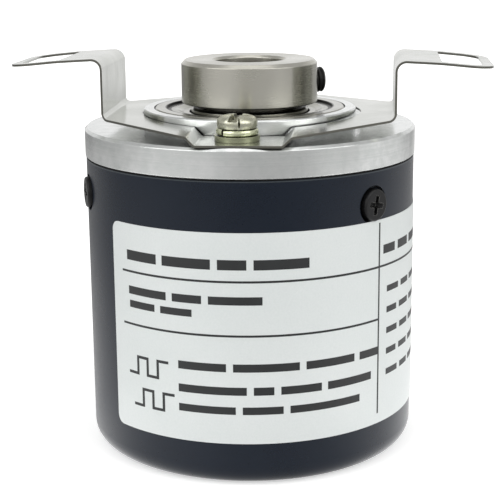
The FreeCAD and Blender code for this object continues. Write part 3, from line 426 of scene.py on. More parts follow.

# Each finish stands under the name of the record's material slot that it dresses.
# Several finishes darken their corners with painted shade, and those of the bearing a ring with grease and
# painted shade.
FINISHES = [
    # Turned aluminium, left bare: bright, with the tool's fine rings.
    Finish("brushed_aluminium", "#e6e7e6", "#d0d3d1", TURNED, 0.2, 1.0, spread=0.06, grain=0.12,
           relief=0.0008, patch=1.3, round_edge=0.12, shade_reach=1.2, shader=LATHE_LINES),
    # Turned aluminium of the parts inside, a little duller.
    Finish("turned_aluminium", "#cfd0cf", "#bfc1c1", TURNED, 0.34, 1.0, grain=0.15, relief=0.0015),
    # Sprayed enamel on the cup: blue-black, satin, with the faint peel of a sprayed coat, and a painted shadow
    # line with a painted highlight under it where the cup meets the flange.
    Finish("black_paint", "#081321", "#0b1624", SPRAYED, 0.3, spread=0.05, grain=0.35, relief=0.0008,
           patch=9.0, round_edge=0.15, edge_colour="#2b3036", seam=-3.42,
           shader=(("Specular IOR Level", 0.3),)),
    # Black oxide on steel: thin, so the edges show grey metal.
    Finish("blackened_steel", "#141415", "#1f1f20", TUMBLED, 0.42, 0.6, grain=0.12, relief=0.002,
           edge_colour="#8f8e8a", round_edge=0.1),
    # Nitrile rubber: dull black with a slight bloom.
    Finish("nitrile_rubber", "#161616", "#222222", MOULDED, 0.7, grain=0.08, relief=0.002),
    # Silver polyester film: pale and satin, nearly without grain.
    Finish("label_film", "#dfe3e2", "#d8dddc", SPRAYED, 0.38, 0.12, spread=0.05, grain=0.2,
           relief=0.0006, patch=12.0, round_edge=0.02),
    # Spring steel sheet: rolled bright, with faint lines along it.
    Finish("spring_sheet", "#cdcec9", "#c0c2bc", ROLLED, 0.2, 1.0, spread=0.06, grain=0.12,
           relief=0.0005, patch=5.0, round_edge=0.09, cut_colour="#6a6962", shade_reach=1.1),
    # Zinc with yellow passivation, thick and greenish on the flat washers.
    Finish("yellow_zinc", "#a3a48b", "#8f937a", TUMBLED, 0.3, 1.0, spread=0.1, grain=0.25,
           relief=0.003, patch=1.2, edge_colour="#c9c7a6", shade_reach=0.3),
    # The same passivation on the spring washers: straw, over bright wire.
    Finish("straw_zinc", "#d2d5b8", "#b9bd9c", TUMBLED, 0.24, 1.0, spread=0.1, grain=0.25,
           relief=0.003, patch=1.0, edge_colour="#e6e0bf", shade_reach=0.5),
    # The same passivation on the screws, thin: silver-grey with a yellow cast, rubbed by the driver.
    Finish("thin_zinc", "#c4c4b4", "#abaa95", TUMBLED, 0.27, 1.0, spread=0.12, grain=0.2,
           relief=0.008, patch=0.8, edge_colour="#e4e4d8", shade_reach=0.9),
    # Ground bearing steel.
    Finish("bearing_steel", "#a9a8a0", "#96958c", TURNED, 0.18, 1.0, spread=0.05, grain=0.06,
           relief=0.0004, shade_reach=0.9, groove=(9.0, 9.7), shader=LATHE_LINES),
    # Lapped balls, mirror bright.
    Finish("polished_balls", "#d6d6d4", "#cfcfcd", TUMBLED, 0.05, 1.0, spread=0.02, relief=0.0001),
    # Pressed sheet of the bearing shields, bright and slightly wavy.
    Finish("shield_sheet", "#a3a298", "#8b8a80", TURNED, 0.18, 1.0, spread=0.05, grain=0.3,
           relief=0.002, shade_reach=0.5, groove=(9.0, 9.7), shader=LATHE_LINES),
    # Nylon of the ball cages: ivory, moulded.
    Finish("cage_nylon", "#e6dfc8", "#dcd3b8", MOULDED, 0.45, grain=0.1, relief=0.001),
    # Turned stainless steel of the shaft: warm grey, with tool rings.
    Finish("turned_stainless", "#c4c2b9", "#b7b5ab", TURNED, 0.25, 1.0, spread=0.05, grain=0.1,
           relief=0.0006, round_edge=0.1, shade_reach=2.2, shader=LATHE_LINES),
    # Etched nickel of the code disc.
    Finish("etched_nickel", "#b8b4a8", "#a9a598", TUMBLED, 0.25, 1.0, grain=0.05, relief=0.0004),
    # Black polyamide of the lamp holder.
    Finish("black_moulding", "#1a1a1b", "#232324", MOULDED, 0.5, grain=0.12, relief=0.002),
    # Natural nylon of the cable header.
    Finish("pale_moulding", "#e4e0d2", "#dbd6c5", MOULDED, 0.45, grain=0.12, relief=0.002),
    # Water-clear epoxy of the infrared lamp.
    Finish("lamp_resin", "#dfe8f2", "#d5e0ec", SPRAYED, 0.1, spread=0.03, grain=0.3, relief=0.0004,
           shader=(("Transmission Weight", 0.85), ("IOR", 1.5))),
    # Glass of the scanning mask.
    Finish("mask_glass", "#dbe6e4", "#d3dfdd", TUMBLED, 0.06, spread=0.02, grain=0.2, relief=0.0001,
           shader=(("Transmission Weight", 0.7), ("IOR", 1.52))),
    # Filled epoxy of the chips.
    Finish("chip_epoxy", "#1b1c1d", "#242526", MOULDED, 0.55, grain=0.06, relief=0.002),
    # Glass-epoxy board under green solder mask.
    Finish("board_laminate", "#1d5a33", "#17492a", WOVEN, 0.32, grain=0.5, relief=0.004),
    # Fired ceramic of the chip capacitors.
    Finish("capacitor_ceramic", "#9a7d5c", "#8a6e50", MOULDED, 0.5, grain=0.08, relief=0.001),
    # Drawn and turned brass.
    Finish("turned_brass", "#c8a252", "#b8923f", TUMBLED, 0.25, 1.0, grain=0.1, relief=0.001),
    # Bright nickel over brass, on the cable outlet.
    Finish("nickel_plate", "#c9c5ba", "#bcb7ab", TUMBLED, 0.18, 1.0, spread=0.05, grain=0.2,
           relief=0.001, edge_colour="#dedacf"),
]
# Screen-printed ink on the label.
INK = Finish("label_ink", "#17191a", "#1f2122", SPRAYED, 0.5, grain=0.15, relief=0.0008, patch=3.0,
             round_edge=0.01)


class Trees:
    """The Geometry Nodes trees that make the repeated and path-bound shapes.

    A thread's flank falls between two shares of half its pitch, and only the shank's skin, past a share of
    its radius, is cut. The least reach, in metres, keeps a point on the axis from a division by nothing.
    """

    flank: ClassVar[tuple[float, float]] = (0.15, 0.85)
    skin: ClassVar[float] = 0.99
    least_reach: ClassVar[float] = 1e-6

    @staticmethod
    def new(name: str, sockets: dict[str, str]) -> tuple[Tree, dict[str, Socket]]:
        """Starts a tree with its named inputs.

        Args:
            name: the tree's name.
            sockets: the kind of each input between the geometry and the material.

        Returns:
            The tree, and its inputs' sockets by name.
        """
        tree = bpy.data.node_groups.new(name, "GeometryNodeTree")
        tree.is_modifier = True
        for title, kind in {"Geometry": "Geometry", **sockets, "Material": "Material"}.items():
            tree.interface.new_socket(title, in_out="INPUT", socket_type="NodeSocket" + kind)
        tree.interface.new_socket("Geometry", in_out="OUTPUT", socket_type="NodeSocketGeometry")
        start = add_node(tree, "NodeGroupInput")
        return tree, {socket.name: socket for socket in start.outputs if socket.name}

    @staticmethod
    def close(tree: Tree, geometry: Node, material: Socket) -> Tree:
        """Ends a tree in Realize Instances and Set Material.

        Args:
            tree: the tree to end.
            geometry: the node that gives what it has made.
            material: the tree's material input.

        Returns:
            The same tree.
        """
        real = add_node(tree, "GeometryNodeRealizeInstances", {"Geometry": geometry})
        dressed = add_node(tree, "GeometryNodeSetMaterial", {"Geometry": real, "Material": material})
        add_node(tree, "NodeGroupOutput", (dressed,))
        return tree

    @classmethod
    def spread(cls) -> Tree:
        """Repeats a piece at equal angles round the shaft.

        Returns:
            The tree, with the inputs Count and Material.
        """
        tree, given = cls.new("spread_round_shaft", {"Count": "Int"})
        add = partial(add_node, tree)
        step = add(MATH, (math.tau, given["Count"]), "DIVIDE")
        turn = add(MATH, (add("GeometryNodeInputIndex"), step), "MULTIPLY")
        places = add("GeometryNodeMeshLine", {"Count": given["Count"], "Offset": (0.0, 0.0, 0.0)})
        copies = add("GeometryNodeInstanceOnPoints", {
            "Points": places, "Instance": given["Geometry"], "Rotation": add(JOIN, {2: turn})})
        return cls.close(tree, copies, given["Material"])

    @classmethod
    def thread(cls) -> Tree:
        """Cuts a helical thread into a plain shank that stands along Z.

        Returns:
            The tree, with the inputs Radius, Pitch, Depth, Start, End and Material.
        """
        sizes = ("Radius", "Pitch", "Depth", "Start", "End")
        tree, given = cls.new("cut_thread", dict.fromkeys(sizes, "Float"))
        add = partial(add_node, tree)
        x, y, z = add(SPLIT, (add("GeometryNodeInputPosition"),)).outputs
        square = add(MATH, (x, x, add(MATH, (y, y), "MULTIPLY")), "MULTIPLY_ADD")
        reach = add(MATH, (square,), "SQRT")
        turn = add(MATH, (add(MATH, (y, x), "ARCTAN2"), math.tau), "DIVIDE")
        rise = add(MATH, (z, given["Pitch"]), "DIVIDE")
        phase = add(MATH, (add(MATH, (rise, turn), "SUBTRACT"),), "FRACT")
        swing = add(MATH, (phase, 2.0, -1.0), "MULTIPLY_ADD")
        flank = add(MATH, (1.0, add(MATH, (swing,), "ABSOLUTE")), "SUBTRACT")
        cut = add(RANGE, {"Value": flank, "From Min": cls.flank[0], "From Max": cls.flank[1]})
        ends = [add(RANGE, {"Value": add(MATH, pair, "SUBTRACT"), "From Min": 0.0,
                            "From Max": given["Pitch"]})
                for pair in ((z, given["Start"]), (given["End"], z))]
        outside = add(MATH, (reach, add(MATH, (given["Radius"], cls.skin), "MULTIPLY")), "GREATER_THAN")
        deepest = add(MATH, (given["Depth"], outside), "MULTIPLY")
        depth = add(MATH, (add(MATH, ends, "MULTIPLY"),
                           add(MATH, (cut, deepest), "MULTIPLY")), "MULTIPLY")
        left = add(MATH, (reach, depth), "SUBTRACT")
        share = add(MATH, (left, add(MATH, (reach, cls.least_reach), "MAXIMUM")), "DIVIDE")
        moved = [add(MATH, (axis, share), "MULTIPLY") for axis in (x, y)]
        shaped = add("GeometryNodeSetPosition", {
            "Geometry": given["Geometry"], "Position": add(JOIN, (*moved, z))})
        return cls.close(tree, shaped, given["Material"])

    @classmethod
    def print_marks(cls) -> Tree:
        """Puts an oblong of ink on each point and wraps them all round the cover.

        Each point lies at (way round, height, 0) on the unrolled label, and its attribute "size" is the
        oblong's width and height.

        Returns:
            The tree, with the inputs Radius, Thickness, Steps and Material.
        """
        tree, given = cls.new("wrap_print", {"Radius": "Float", "Thickness": "Float", "Steps": "Int"})
        add = partial(add_node, tree)
        size = add("GeometryNodeInputNamedAttribute", {"Name": "size"}, data_type="FLOAT_VECTOR")
        block = add("GeometryNodeMeshCube", {
            "Size": (1.0, 1.0, 1.0), "Vertices X": given["Steps"], "Vertices Y": 2, "Vertices Z": 2})
        points = add("GeometryNodeMeshToPoints", {"Mesh": given["Geometry"]})
        copies = add("GeometryNodeInstanceOnPoints", {"Points": points, "Instance": block, "Scale": size})
        real = add("GeometryNodeRealizeInstances", {"Geometry": copies})
        around, height, layer = add(SPLIT, (add("GeometryNodeInputPosition"),)).outputs
        turn = add(MATH, (around, given["Radius"]), "DIVIDE")
        reach = add(MATH, (layer, given["Thickness"], given["Radius"]), "MULTIPLY_ADD")
        flat = [add(MATH, (reach, add(MATH, (turn,), part)), "MULTIPLY") for part in ("COSINE", "SINE")]
        shaped = add("GeometryNodeSetPosition", {"Geometry": real, "Position": add(JOIN, (*flat, height))})
        return cls.close(tree, shaped, given["Material"])


def bake(piece: bpy.types.Object, tree: Tree, values: dict[str, object]) -> None:
    """Runs a tree on a piece and keeps the result as its plain mesh.

    Args:
        piece: the piece to shape.
        tree: the Geometry Nodes tree.
        values: the tree's inputs by name.
    """
    modifier = piece.modifiers.new(tree.name, "NODES")
    modifier.node_group = tree
    for item in tree.interface.items_tree:
        if item.in_out == "INPUT" and item.name in values:
            modifier[item.identifier] = values[item.name]
    graph = bpy.context.evaluated_depsgraph_get()
    mesh = bpy.data.meshes.new_from_object(piece.evaluated_get(graph), depsgraph=graph)
    piece.modifiers.clear()
    piece.data = mesh


def ring(angles: Sequence[float], height: float, reach: Callable[[float], float]) -> Ring:
    """Lays one closed outline round Z at a height, from its azimuths and its reach at each."""
    return bent_ring(angles, lambda a: (reach(a), height))


def bent_ring(angles: Sequence[float], place: Callable[[float], tuple[float, float]]) -> Ring:
    """Lays one closed outline that rises and falls round Z.

    Args:
        angles: the azimuths of its points, in radians.
        place: the distance from Z and the height at an azimuth.

    Returns:
        The outline's points.
    """
    places = [(a, *place(a)) for a in angles]
    return [(reach * math.cos(a), reach * math.sin(a), height) for a, reach, height in places]


def round_at(radius: float) -> Callable[[float], float]:
    """Gives the reach of a circle."""
    return lambda _: radius


def hexagon_at(half_width: float) -> Callable[[float], float]:
    """Gives the reach of a hexagon of that half width across its flats."""
    side = math.radians(60)
    return lambda a: half_width / math.cos((a + side / 2) % side - side / 2)


def cross_at(span: float, slot: float, arm: float) -> Callable[[float], float]:
    """Gives the reach of a cross whose arms along Y may be longer and end round.

    Args:
        span: from the middle to the end of an arm along X.
        slot: the same along Y.
        arm: half an arm's width.

    Returns:
        The reach at an azimuth.
    """
    def reach(a: float) -> float:
        """Gives the cross's reach at one azimuth."""
        x, y = abs(math.cos(a)) + TINY, abs(math.sin(a)) + TINY
        return max(min(span / x, arm / y), min(slot, arm / x))
    return reach


def cross_angles(span: float, slot: float, arm: float, steps: int) -> list[float]:
    """Picks azimuths that meet every corner of a cross.

    Args:
        span: from the middle to the end of an arm along X.
        slot: the same along Y.
        arm: half an arm's width.
        steps: points between two corners.

    Returns:
        The azimuths, in radians.
    """
    angles = []
    for quarter in range(4):
        corner = math.asin(arm / slot) if quarter % 2 else math.atan(arm / span)
        stops = [-math.pi / 4, -corner, corner, math.pi / 4]
        for low, high in zip(stops, stops[1:]):
            angles += [quarter * math.pi / 2 + low + (high - low) * step / steps for step in range(steps)]
    return angles


def wrapped(angle: float) -> float:
    """Gives the same direction from half a turn back to half a turn on."""
    return (angle + math.pi) % math.tau - math.pi


def walls(count: int, layers: int) -> list[tuple[int, ...]]:
    """Numbers the faces between each outline of so many points and the next one, over so many layers."""
    return [(low + i, low + (i + 1) % count, low + count + (i + 1) % count, low + count + i)
            for low in range(0, count * layers, count) for i in range(count)]


def stacked(name: str, rings: Sequence[Ring]) -> bpy.types.Object:
    """Makes a closed piece from outlines of equally many points, from its first end to its last.

    Args:
        name: the piece's name.
        rings: the outlines.

    Returns:
        The new object.
    """
    count, layers = len(rings[0]), len(rings) - 1
    points = [Vector(point) for outline in rings for point in outline]
    faces = walls(count, layers)
    for outline, first, turn in ((rings[0], 0, -1), (rings[-1], count * layers, 1)):
        points.append(sum((Vector(point) for point in outline), Vector()) / count)
        fan = [(first + i, first + (i + 1) % count, len(points) - 1) for i in range(count)]
        faces += [face[::turn] for face in fan]
    return new_piece(name, points, faces)


def shank(angles: Sequence[float], radius: float, low: float, high: float, pitch: float) -> list[Ring]:
    """Lays a plain shank's outlines from low to high, close enough together for a thread of that pitch."""
    steps = math.ceil((high - low) / pitch * PITCH_LAYERS)
    return [ring(angles, low + (high - low) * step / steps, round_at(radius)) for step in range(steps + 1)]


def turned(degrees: float, axis: str = "Z") -> Matrix:
    """Gives a rotation about an axis."""
    return Matrix.Rotation(math.radians(degrees), 4, axis)


def outwards(azimuth: float, height: float) -> Matrix:
    """Turns a piece that stands along Z to point away from the shaft, at a height in millimetres."""
    return Matrix.Translation((0.0, 0.0, height * MM)) @ turned(azimuth) @ turned(90, "Y")


@dataclass
class Workshop:
    """What every sub-assembly takes from: the record's slots, the finishes and the trees."""

    slots: dict[str, str]
    finishes: dict[str, bpy.types.Material]
    spread: Tree
    thread: Tree
    marks: Tree

    @classmethod
    def open(cls) -> "Workshop":
        """Notes each node's slot, then builds the finishes and the trees.

        Returns:
            The workshop, ready for use.
        """
        slots = {name: node.data.materials[0].name for name, node in frame["nodes"].items()}
        for old in list(bpy.data.materials):
            bpy.data.materials.remove(old)
        finishes = {finish.name: Coat(finish).build() for finish in [*FINISHES, INK]}
        return cls(slots, finishes, Trees.spread(), Trees.thread(), Trees.print_marks())

    def dress(self, *nodes: str) -> None:
        """Gives CAD nodes the finish of their slot.

        Args:
            nodes: the nodes' names.
        """
        for name in nodes:
            node = frame["nodes"][name]
            node.data.materials.clear()
            node.data.materials.append(self.finishes[self.slots[name]])
            log.info("dressed %s in %s", name, self.slots[name])

    def threaded(self, name: str, rings: Sequence[Ring], finish: str, **sizes: float) -> bpy.types.Object:
        """Makes a screw from its outlines and cuts its thread.

        Args:
            name: the piece's name.
            rings: its outlines from its first end to its last.
            finish: the name of its finish.
            sizes: the thread's inputs, in millimetres.

        Returns:
            The screw, which stands along Z.
        """
        screw = stacked(name, rings)
        metres = {key: size * MM for key, size in sizes.items()}
        bake(screw, self.thread, {**metres, "Material": self.finishes[finish]})
        return screw

    def finish_piece(self, piece: bpy.types.Object, body: str, node: str) -> None:
        """Puts a made piece on its body in place of its CAD node.

        Args:
            piece: the piece, finished and in place.
            body: the CAD body that it rides on.
            node: the CAD node that it stands for.
        """
        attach(piece, body)
        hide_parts(node)
        log.info("made %s for %s, with %d faces", piece.name, node, len(piece.data.polygons))


@dataclass
class Assembly:
    """A group of pieces that belong together, built in one workshop."""

    shop: Workshop
    dressed: ClassVar[tuple[str, ...]] = ()

    def dress(self) -> None:
        """Gives the group's CAD nodes the finishes of their slots."""
        self.shop.dress(*self.dressed)

    def build(self) -> None:
        """Builds the group. Without pieces of its own, it is only dressed."""
        self.dress()


class Head(Enum):
    """The two kinds of head with a cross recess."""

    PAN = "bulging side and rounded crown"
    LOW = "straight side and rounded edge"


@dataclass
class CrossScrew(Assembly):
    """Screws with a cross recess, spread round the shaft.

    Sizes are in millimetres, those of the recess as shares of the head, and turns in degrees. The slit is
    pressed in towards a place inside the head, the slit's aim, in shares of the head's radius and height,
    and keeps other points away by some of its half widths. The lists at the end say where outlines lie.
    """

    name: str
    node: str
    finish: str
    head: Head
    count: int
    place: Matrix
    radius: float
    length: float
    pitch: float
    head_radius: float
    head_height: float
    tip_share: float = 0.75
    thread_share: float = 0.5
    neck: float = 0.3
    edge_round: float = 0.2
    seat_share: float = 0.94
    bulge_share: float = 0.33
    crown_turn: float = 10.0
    recess_span: float = 0.62
    recess_slot: float = 0.62
    recess_arm: float = 0.16
    recess_depth: float = 0.55
    recess_floor: float = 0.6
    slit_azimuth: float = -70.0
    slit_width: float = 0.0
    slit_depth: float = 0.26
    slit_aim: tuple[float, float] = (0.45, 0.3)
    slit_room: float = 1.5
    straight_share: float = 0.9
    edge_turns: tuple[float, ...] = (0.0, 20.0, 45.0, 70.0, 90.0)
    bulge_shares: tuple[float, ...] = (0.0, 0.25, 0.5, 0.75)
    crown_bunching: float = 1.4
    crown_shares: tuple[float, ...] = (0.12, 0.3, 0.5, 0.75, 1.0)
    steps: int = 6

    def cross(self, share: float = 1.0) -> tuple[float, float, float]:
        """Gives the recess's two half lengths and its half width, or a share of them."""
        scale = share * self.head_radius
        return self.recess_span * scale, self.recess_slot * scale, self.recess_arm * scale

    def angles(self) -> list[float]:
        """Picks the azimuths of every outline's points, in radians, with three at the slit.

        Returns:
            The azimuths in rising order.
        """
        angles = cross_angles(*self.cross(), self.steps)
        if self.slit_width:
            slit, half = math.radians(self.slit_azimuth), self.slit_width / 2 / self.head_radius
            angles = [a for a in angles if abs(wrapped(a - slit)) > self.slit_room * half]
            angles += [slit - half, slit, slit + half]
        return sorted(wrapped(a) for a in angles)

    def crown(self, reach: float) -> float:
        """Gives the height of the head's upper face at a distance from its axis.

        Args:
            reach: the distance.

        Returns:
            The height above the seat.
        """
        if self.head is Head.LOW:
            past = max(reach - self.head_radius + self.edge_round, 0.0)
            return self.head_height - self.edge_round + math.sqrt(max(self.edge_round ** 2 - past ** 2, 0.0))
        low = self.bulge_share * self.head_height
        share = min(reach / self.head_radius, 1.0)
        return low + (self.head_height - low) * (1 - share ** 3) ** (1 / 3)

    def side(self) -> list[tuple[float, float]]:
        """Draws the head's outline from its seat up to the crown's middle part.

        Returns:
            Pairs of distance from the axis and height.
        """
        if self.head is Head.LOW:
            turns = [math.radians(degrees) for degrees in self.edge_turns]
            straight = (self.head_height - self.edge_round) * self.straight_share
            low = [(self.head_radius, 0.0), (self.head_radius, straight)]
            return low + [(self.head_radius + self.edge_round * (math.cos(t) - 1),
                           self.head_height + self.edge_round * (math.sin(t) - 1)) for t in turns]
        bulge = self.bulge_share * self.head_height
        low = [(self.head_radius * (1 - (1 - self.seat_share) * (1 - up) ** 2), bulge * up)
               for up in self.bulge_shares]
        turns = [math.radians(self.crown_turn * (step / self.steps) ** self.crown_bunching)
                 for step in range(self.steps + 1)]
        reaches = [self.head_radius * math.cos(turn) ** (2 / 3) for turn in turns]
        return low + [(reach, self.crown(reach)) for reach in reaches]

    def sunk(self, angle: float, reach: float, height: float) -> tuple[float, float]:
        """Sinks a point of the head towards its inside where the slit runs.

        Args:
            angle: the point's azimuth.
            reach: its distance from the axis.
            height: its height.

        Returns:
            The new distance and height.
        """
        off = abs(wrapped(angle - math.radians(self.slit_azimuth)))
        if off * self.head_radius > self.slit_width / 4:
            return reach, height
        across = self.head_radius * self.slit_aim[0] - reach
        down = self.head_height * self.slit_aim[1] - height
        share = self.slit_depth * math.sin(math.pi * height / self.head_height) / math.hypot(across, down)
        return reach + across * share, height + down * share

    def rings(self) -> list[Ring]:
        """Lays the outlines from the shank's tip over the head down into the recess.

        Returns:
            The outlines.
        """
        cross, angles, side = cross_at(*self.cross()), self.angles(), self.side()
        outlines = [ring(angles, -self.length, round_at(self.radius * self.tip_share))]
        low = self.radius * (1 - self.tip_share) - self.length
        outlines += shank(angles, self.radius, low, 0.0, self.pitch)
        outlines += [bent_ring(angles, lambda a, r=reach, z=height: self.sunk(a, r, z))
                     for reach, height in side]
        start = side[-1][0]
        for share in self.crown_shares:
            def over(a: float, share: float = share) -> tuple[float, float]:
                """Gives the crown's place part of the way from its edge to the recess."""
                reach = start + (cross(a) - start) * share
                return self.sunk(a, reach, self.crown(reach))
            outlines.append(bent_ring(angles, over))
        floor = self.head_height * (1 - self.recess_depth)
        return [*outlines, ring(angles, floor, cross_at(*self.cross(self.recess_floor)))]

    def build(self) -> None:
        """Makes the set of screws in place of its CAD node."""
        screw = self.shop.threaded(
            self.name, self.rings(), self.finish, Radius=self.radius, Pitch=self.pitch,
            Depth=self.pitch * self.thread_share, Start=-self.length, End=-self.neck)
        screw.data.transform(self.place)
        bake(screw, self.shop.spread, {"Count": self.count, "Material": self.shop.finishes[self.finish]})
        self.shop.finish_piece(screw, "housing", self.node)


@dataclass
class GrubScrew(Assembly):
    """A set screw with a hexagon socket. Sizes in millimetres, reaches from the shaft's axis."""

    name: str
    body: str
    azimuth: float
    height: float = 4.63
    radius: float = 1.46
    pitch: float = 0.5
    thread_share: float = 0.54
    inner: float = 4.85
    outer: float = 8.84
    tip: float = 0.6
    chamfer: float = 0.14
    turn: float = 110.0
    socket: float = 0.75
    socket_depth: float = 1.4
    columns: int = 48

    def build(self) -> None:
        """Makes the threaded screw in place of its CAD node."""
        angles = [math.tau * i / self.columns for i in range(self.columns)]
        outlines = [ring(angles, self.inner, round_at(self.radius - self.tip))]
        outlines += shank(angles, self.radius, self.inner + self.tip, self.outer - self.chamfer, self.pitch)
        outlines += [ring(angles, self.outer, round_at(self.radius - self.chamfer))]
        for height in (self.outer, self.outer - self.socket_depth):
            outlines.append(ring(angles, height, hexagon_at(self.socket)))
        screw = self.shop.threaded(
            self.name + "_threaded", outlines, self.shop.slots[self.name], Radius=self.radius,
            Pitch=self.pitch, Depth=self.pitch * self.thread_share,
            Start=self.inner + self.tip / 2, End=self.outer - self.chamfer / 2)
        screw.data.transform(outwards(self.azimuth, self.height) @ turned(self.turn))
        self.shop.finish_piece(screw, self.body, self.name)


@dataclass
class Casing(Assembly):
    """Flange, cover, its screws and the cable outlet. Sizes in millimetres."""

    dressed = ("mounting_flange", "cover", "cover_seal", "label", "cable_bushing", "bushing_gasket",
               "bushing_nut")
    screw_azimuth: float = -40.5
    screw_height: float = -7.1
    screw_floor: float = 18.0
    screw_turn: float = -11.0

    def build(self) -> None:
        """Builds the cover screws and dresses the rest."""
        lift = Matrix.Translation((0.0, 0.0, self.screw_floor * MM))
        place = outwards(self.screw_azimuth, self.screw_height) @ lift @ turned(self.screw_turn)
        CrossScrew(self.shop, "cover_screws_threaded", "cover_screws", "blackened_steel", Head.LOW, 3, place,
                   radius=1.0, length=4.2, pitch=0.4, head_radius=1.75, head_height=1.3).build()
        self.dress()


@dataclass
class SpringMount(Assembly):
    """The stator coupling and what fastens it. Sizes in millimetres.

    The seat says how far the plate's points move outwards at each distance from its middle.
    """

    dressed = ("flat_washers",)
    screw_circle: float = 15.0
    head_bottom: float = 1.6
    screw_turn: float = -9.0
    washer_bottom: float = 0.85
    washer_thickness: float = 0.65
    washer_lift: float = 0.12
    washer_hole: float = 1.3
    washer_radius: float = 2.25
    washer_edge: float = 0.12
    washer_bulge: float = 0.8
    washer_split: float = -129.0
    washer_gap: float = 7.0
    washer_steps: int = 60
    washer_shares: tuple[float, ...] = (0.9, 0.7, 0.5, 0.3, 0.1)
    plate_shift: float = 0.42
    seat: Steps = ((0.0, 0.0), (2.5, 0.0), (3.95, 0.6), (5.15, 0.3), (8.0, 0.0), (40.0, 0.0))
    boss_reach: float = 12.3
    leg: float = 16.24
    foot_height: float = 1.325
    foot_bend: float = 1.1
    foot_tightened: float = 0.4
    left_arm_twist: float = 0.013
    right_arm_drop: float = 0.12

    def plate_place(self, point: Vector) -> Vector:
        """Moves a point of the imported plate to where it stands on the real, slightly crooked one.

        Args:
            point: the point, in millimetres.

        Returns:
            The new point.
        """
        side = math.copysign(1.0, point.x)
        x, z = abs(point.x), point.z
        for (low, first), (high, last) in zip(self.seat, self.seat[1:]):
            if low <= x < high:
                x += first + (last - first) * (x - low) / (high - low)
                break
        middle_x, middle_z = self.leg - self.foot_bend, self.foot_height + self.foot_bend
        if x > middle_x and z < middle_z:
            out, down = x - middle_x, middle_z - z
            share = (math.hypot(out, down) - self.foot_tightened) / math.hypot(out, down)
            x = middle_x + self.foot_tightened + out * share
            z = middle_z - self.foot_tightened - down * share
        if x > middle_x and z > middle_z:
            up = min((z - middle_z) / self.foot_bend, 1.0)
            z += up * (-self.left_arm_twist * point.y if side < 0 else -self.right_arm_drop)
        moved = Vector((side * x + self.plate_shift, point.y, z))
        reach = math.hypot(moved.x, moved.y)
        if reach < self.boss_reach:
            moved.x, moved.y = moved.x * self.boss_reach / reach, moved.y * self.boss_reach / reach
        return moved

    def plate(self) -> None:
        """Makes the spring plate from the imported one, off centre and with tighter bends, as the real one."""
        packed = frame["nodes"]["spring_plate"].data
        merged: dict[tuple[float, ...], int] = {}
        number = [merged.setdefault(tuple(round(value / MM, 4) for value in vertex.co), len(merged))
                  for vertex in packed.vertices]
        faces = [[number[index] for index in face.vertices] for face in packed.polygons]
        plate = new_piece("spring_plate_formed", [self.plate_place(Vector(point)) for point in merged],
                          [face for face in faces if len(set(face)) == len(face)])
        plate.data.materials.append(self.shop.finishes["spring_sheet"])
        self.shop.finish_piece(plate, "housing", "spring_plate")

    def washers(self) -> None:
        """Makes the split washers: a rounded wire, one end of which stands up a little."""
        edge, thick, radius = self.washer_edge, self.washer_thickness, self.washer_radius
        section = [(self.washer_hole, thick), (radius - edge, thick)]
        section += [(radius - edge * (2 * up - 1) ** 2 * self.washer_bulge, thick * up)
                    for up in self.washer_shares]
        section += [(radius - edge, 0.0), (self.washer_hole, 0.0)]
        points = []
        for step in range(self.washer_steps + 1):
            share = step / self.washer_steps
            turn = math.radians(self.washer_split + self.washer_gap / 2 + (360 - self.washer_gap) * share)
            lift = self.washer_bottom + self.washer_lift * share
            points += [(r * math.cos(turn), r * math.sin(turn) - self.screw_circle, z + lift)
                       for r, z in section]
        count = len(section)
        faces = [*walls(count, self.washer_steps), range(count)[::-1],
                 range(count * self.washer_steps, len(points))]
        washer = new_piece("lock_washers_wound", points, [list(face) for face in faces])
        bake(washer, self.shop.spread, {"Count": 2, "Material": self.shop.finishes["straw_zinc"]})
        self.shop.finish_piece(washer, "housing", "lock_washers")

    def build(self) -> None:
        """Builds the plate screws, the plate and its split washers, and dresses the flat washers."""
        place = Matrix.Translation((0.0, -self.screw_circle * MM, self.head_bottom * MM))
        CrossScrew(self.shop, "plate_screws_threaded", "plate_screws", "thin_zinc", Head.PAN, 2,
                   place @ turned(self.screw_turn), radius=1.25, length=6.0, pitch=0.45, head_radius=2.15,
                   head_height=1.4, recess_span=0.58, recess_slot=0.98, recess_arm=0.22, recess_depth=0.5,
                   recess_floor=0.85, slit_width=0.26).build()
        self.plate()
        self.washers()
        self.dress()


@dataclass
class Bearing(Assembly):
    """One shielded ball bearing, by the place that its nodes' names start with."""

    dressed = ("outer_ring", "inner_ring", "balls", "cage", "shields")
    place: str

    def dress(self) -> None:
        """Gives the bearing's nodes the finishes of their slots."""
        self.shop.dress(*(f"{self.place}_{part}" for part in self.dressed))


@dataclass
class Rotor(Assembly):
    """Everything that turns with the shaft. Each set screw has its node, its body and its azimuth."""

    dressed = ("hollow_shaft", "inner_spacer", "shaft_circlip", "disc_hub", "code_disc", "clamp_ring",
               "clamp_screws")
    screws: tuple[tuple[str, str, float], ...] = (
        ("set_screw_side", "side_screw", 22.0), ("set_screw_rear", "rear_screw", 112.0))

    def build(self) -> None:
        """Builds the set screws and dresses the shaft, its rings and the code disc."""
        for screw in self.screws:
            GrubScrew(self.shop, *screw).build()
        self.dress()


@dataclass
class Scanner(Assembly):
    """The lamp, the receiver and the circuit board, all inside the cover."""

    dressed = ("retaining_ring", "lamp_holder", "lamp", "lamp_screws", "scanning_mask", "detector",
               "circuit_board", "board_pillars", "board_screws", "signal_chip", "driver_chip",
               "chip_capacitors", "cable_header", "header_pins")


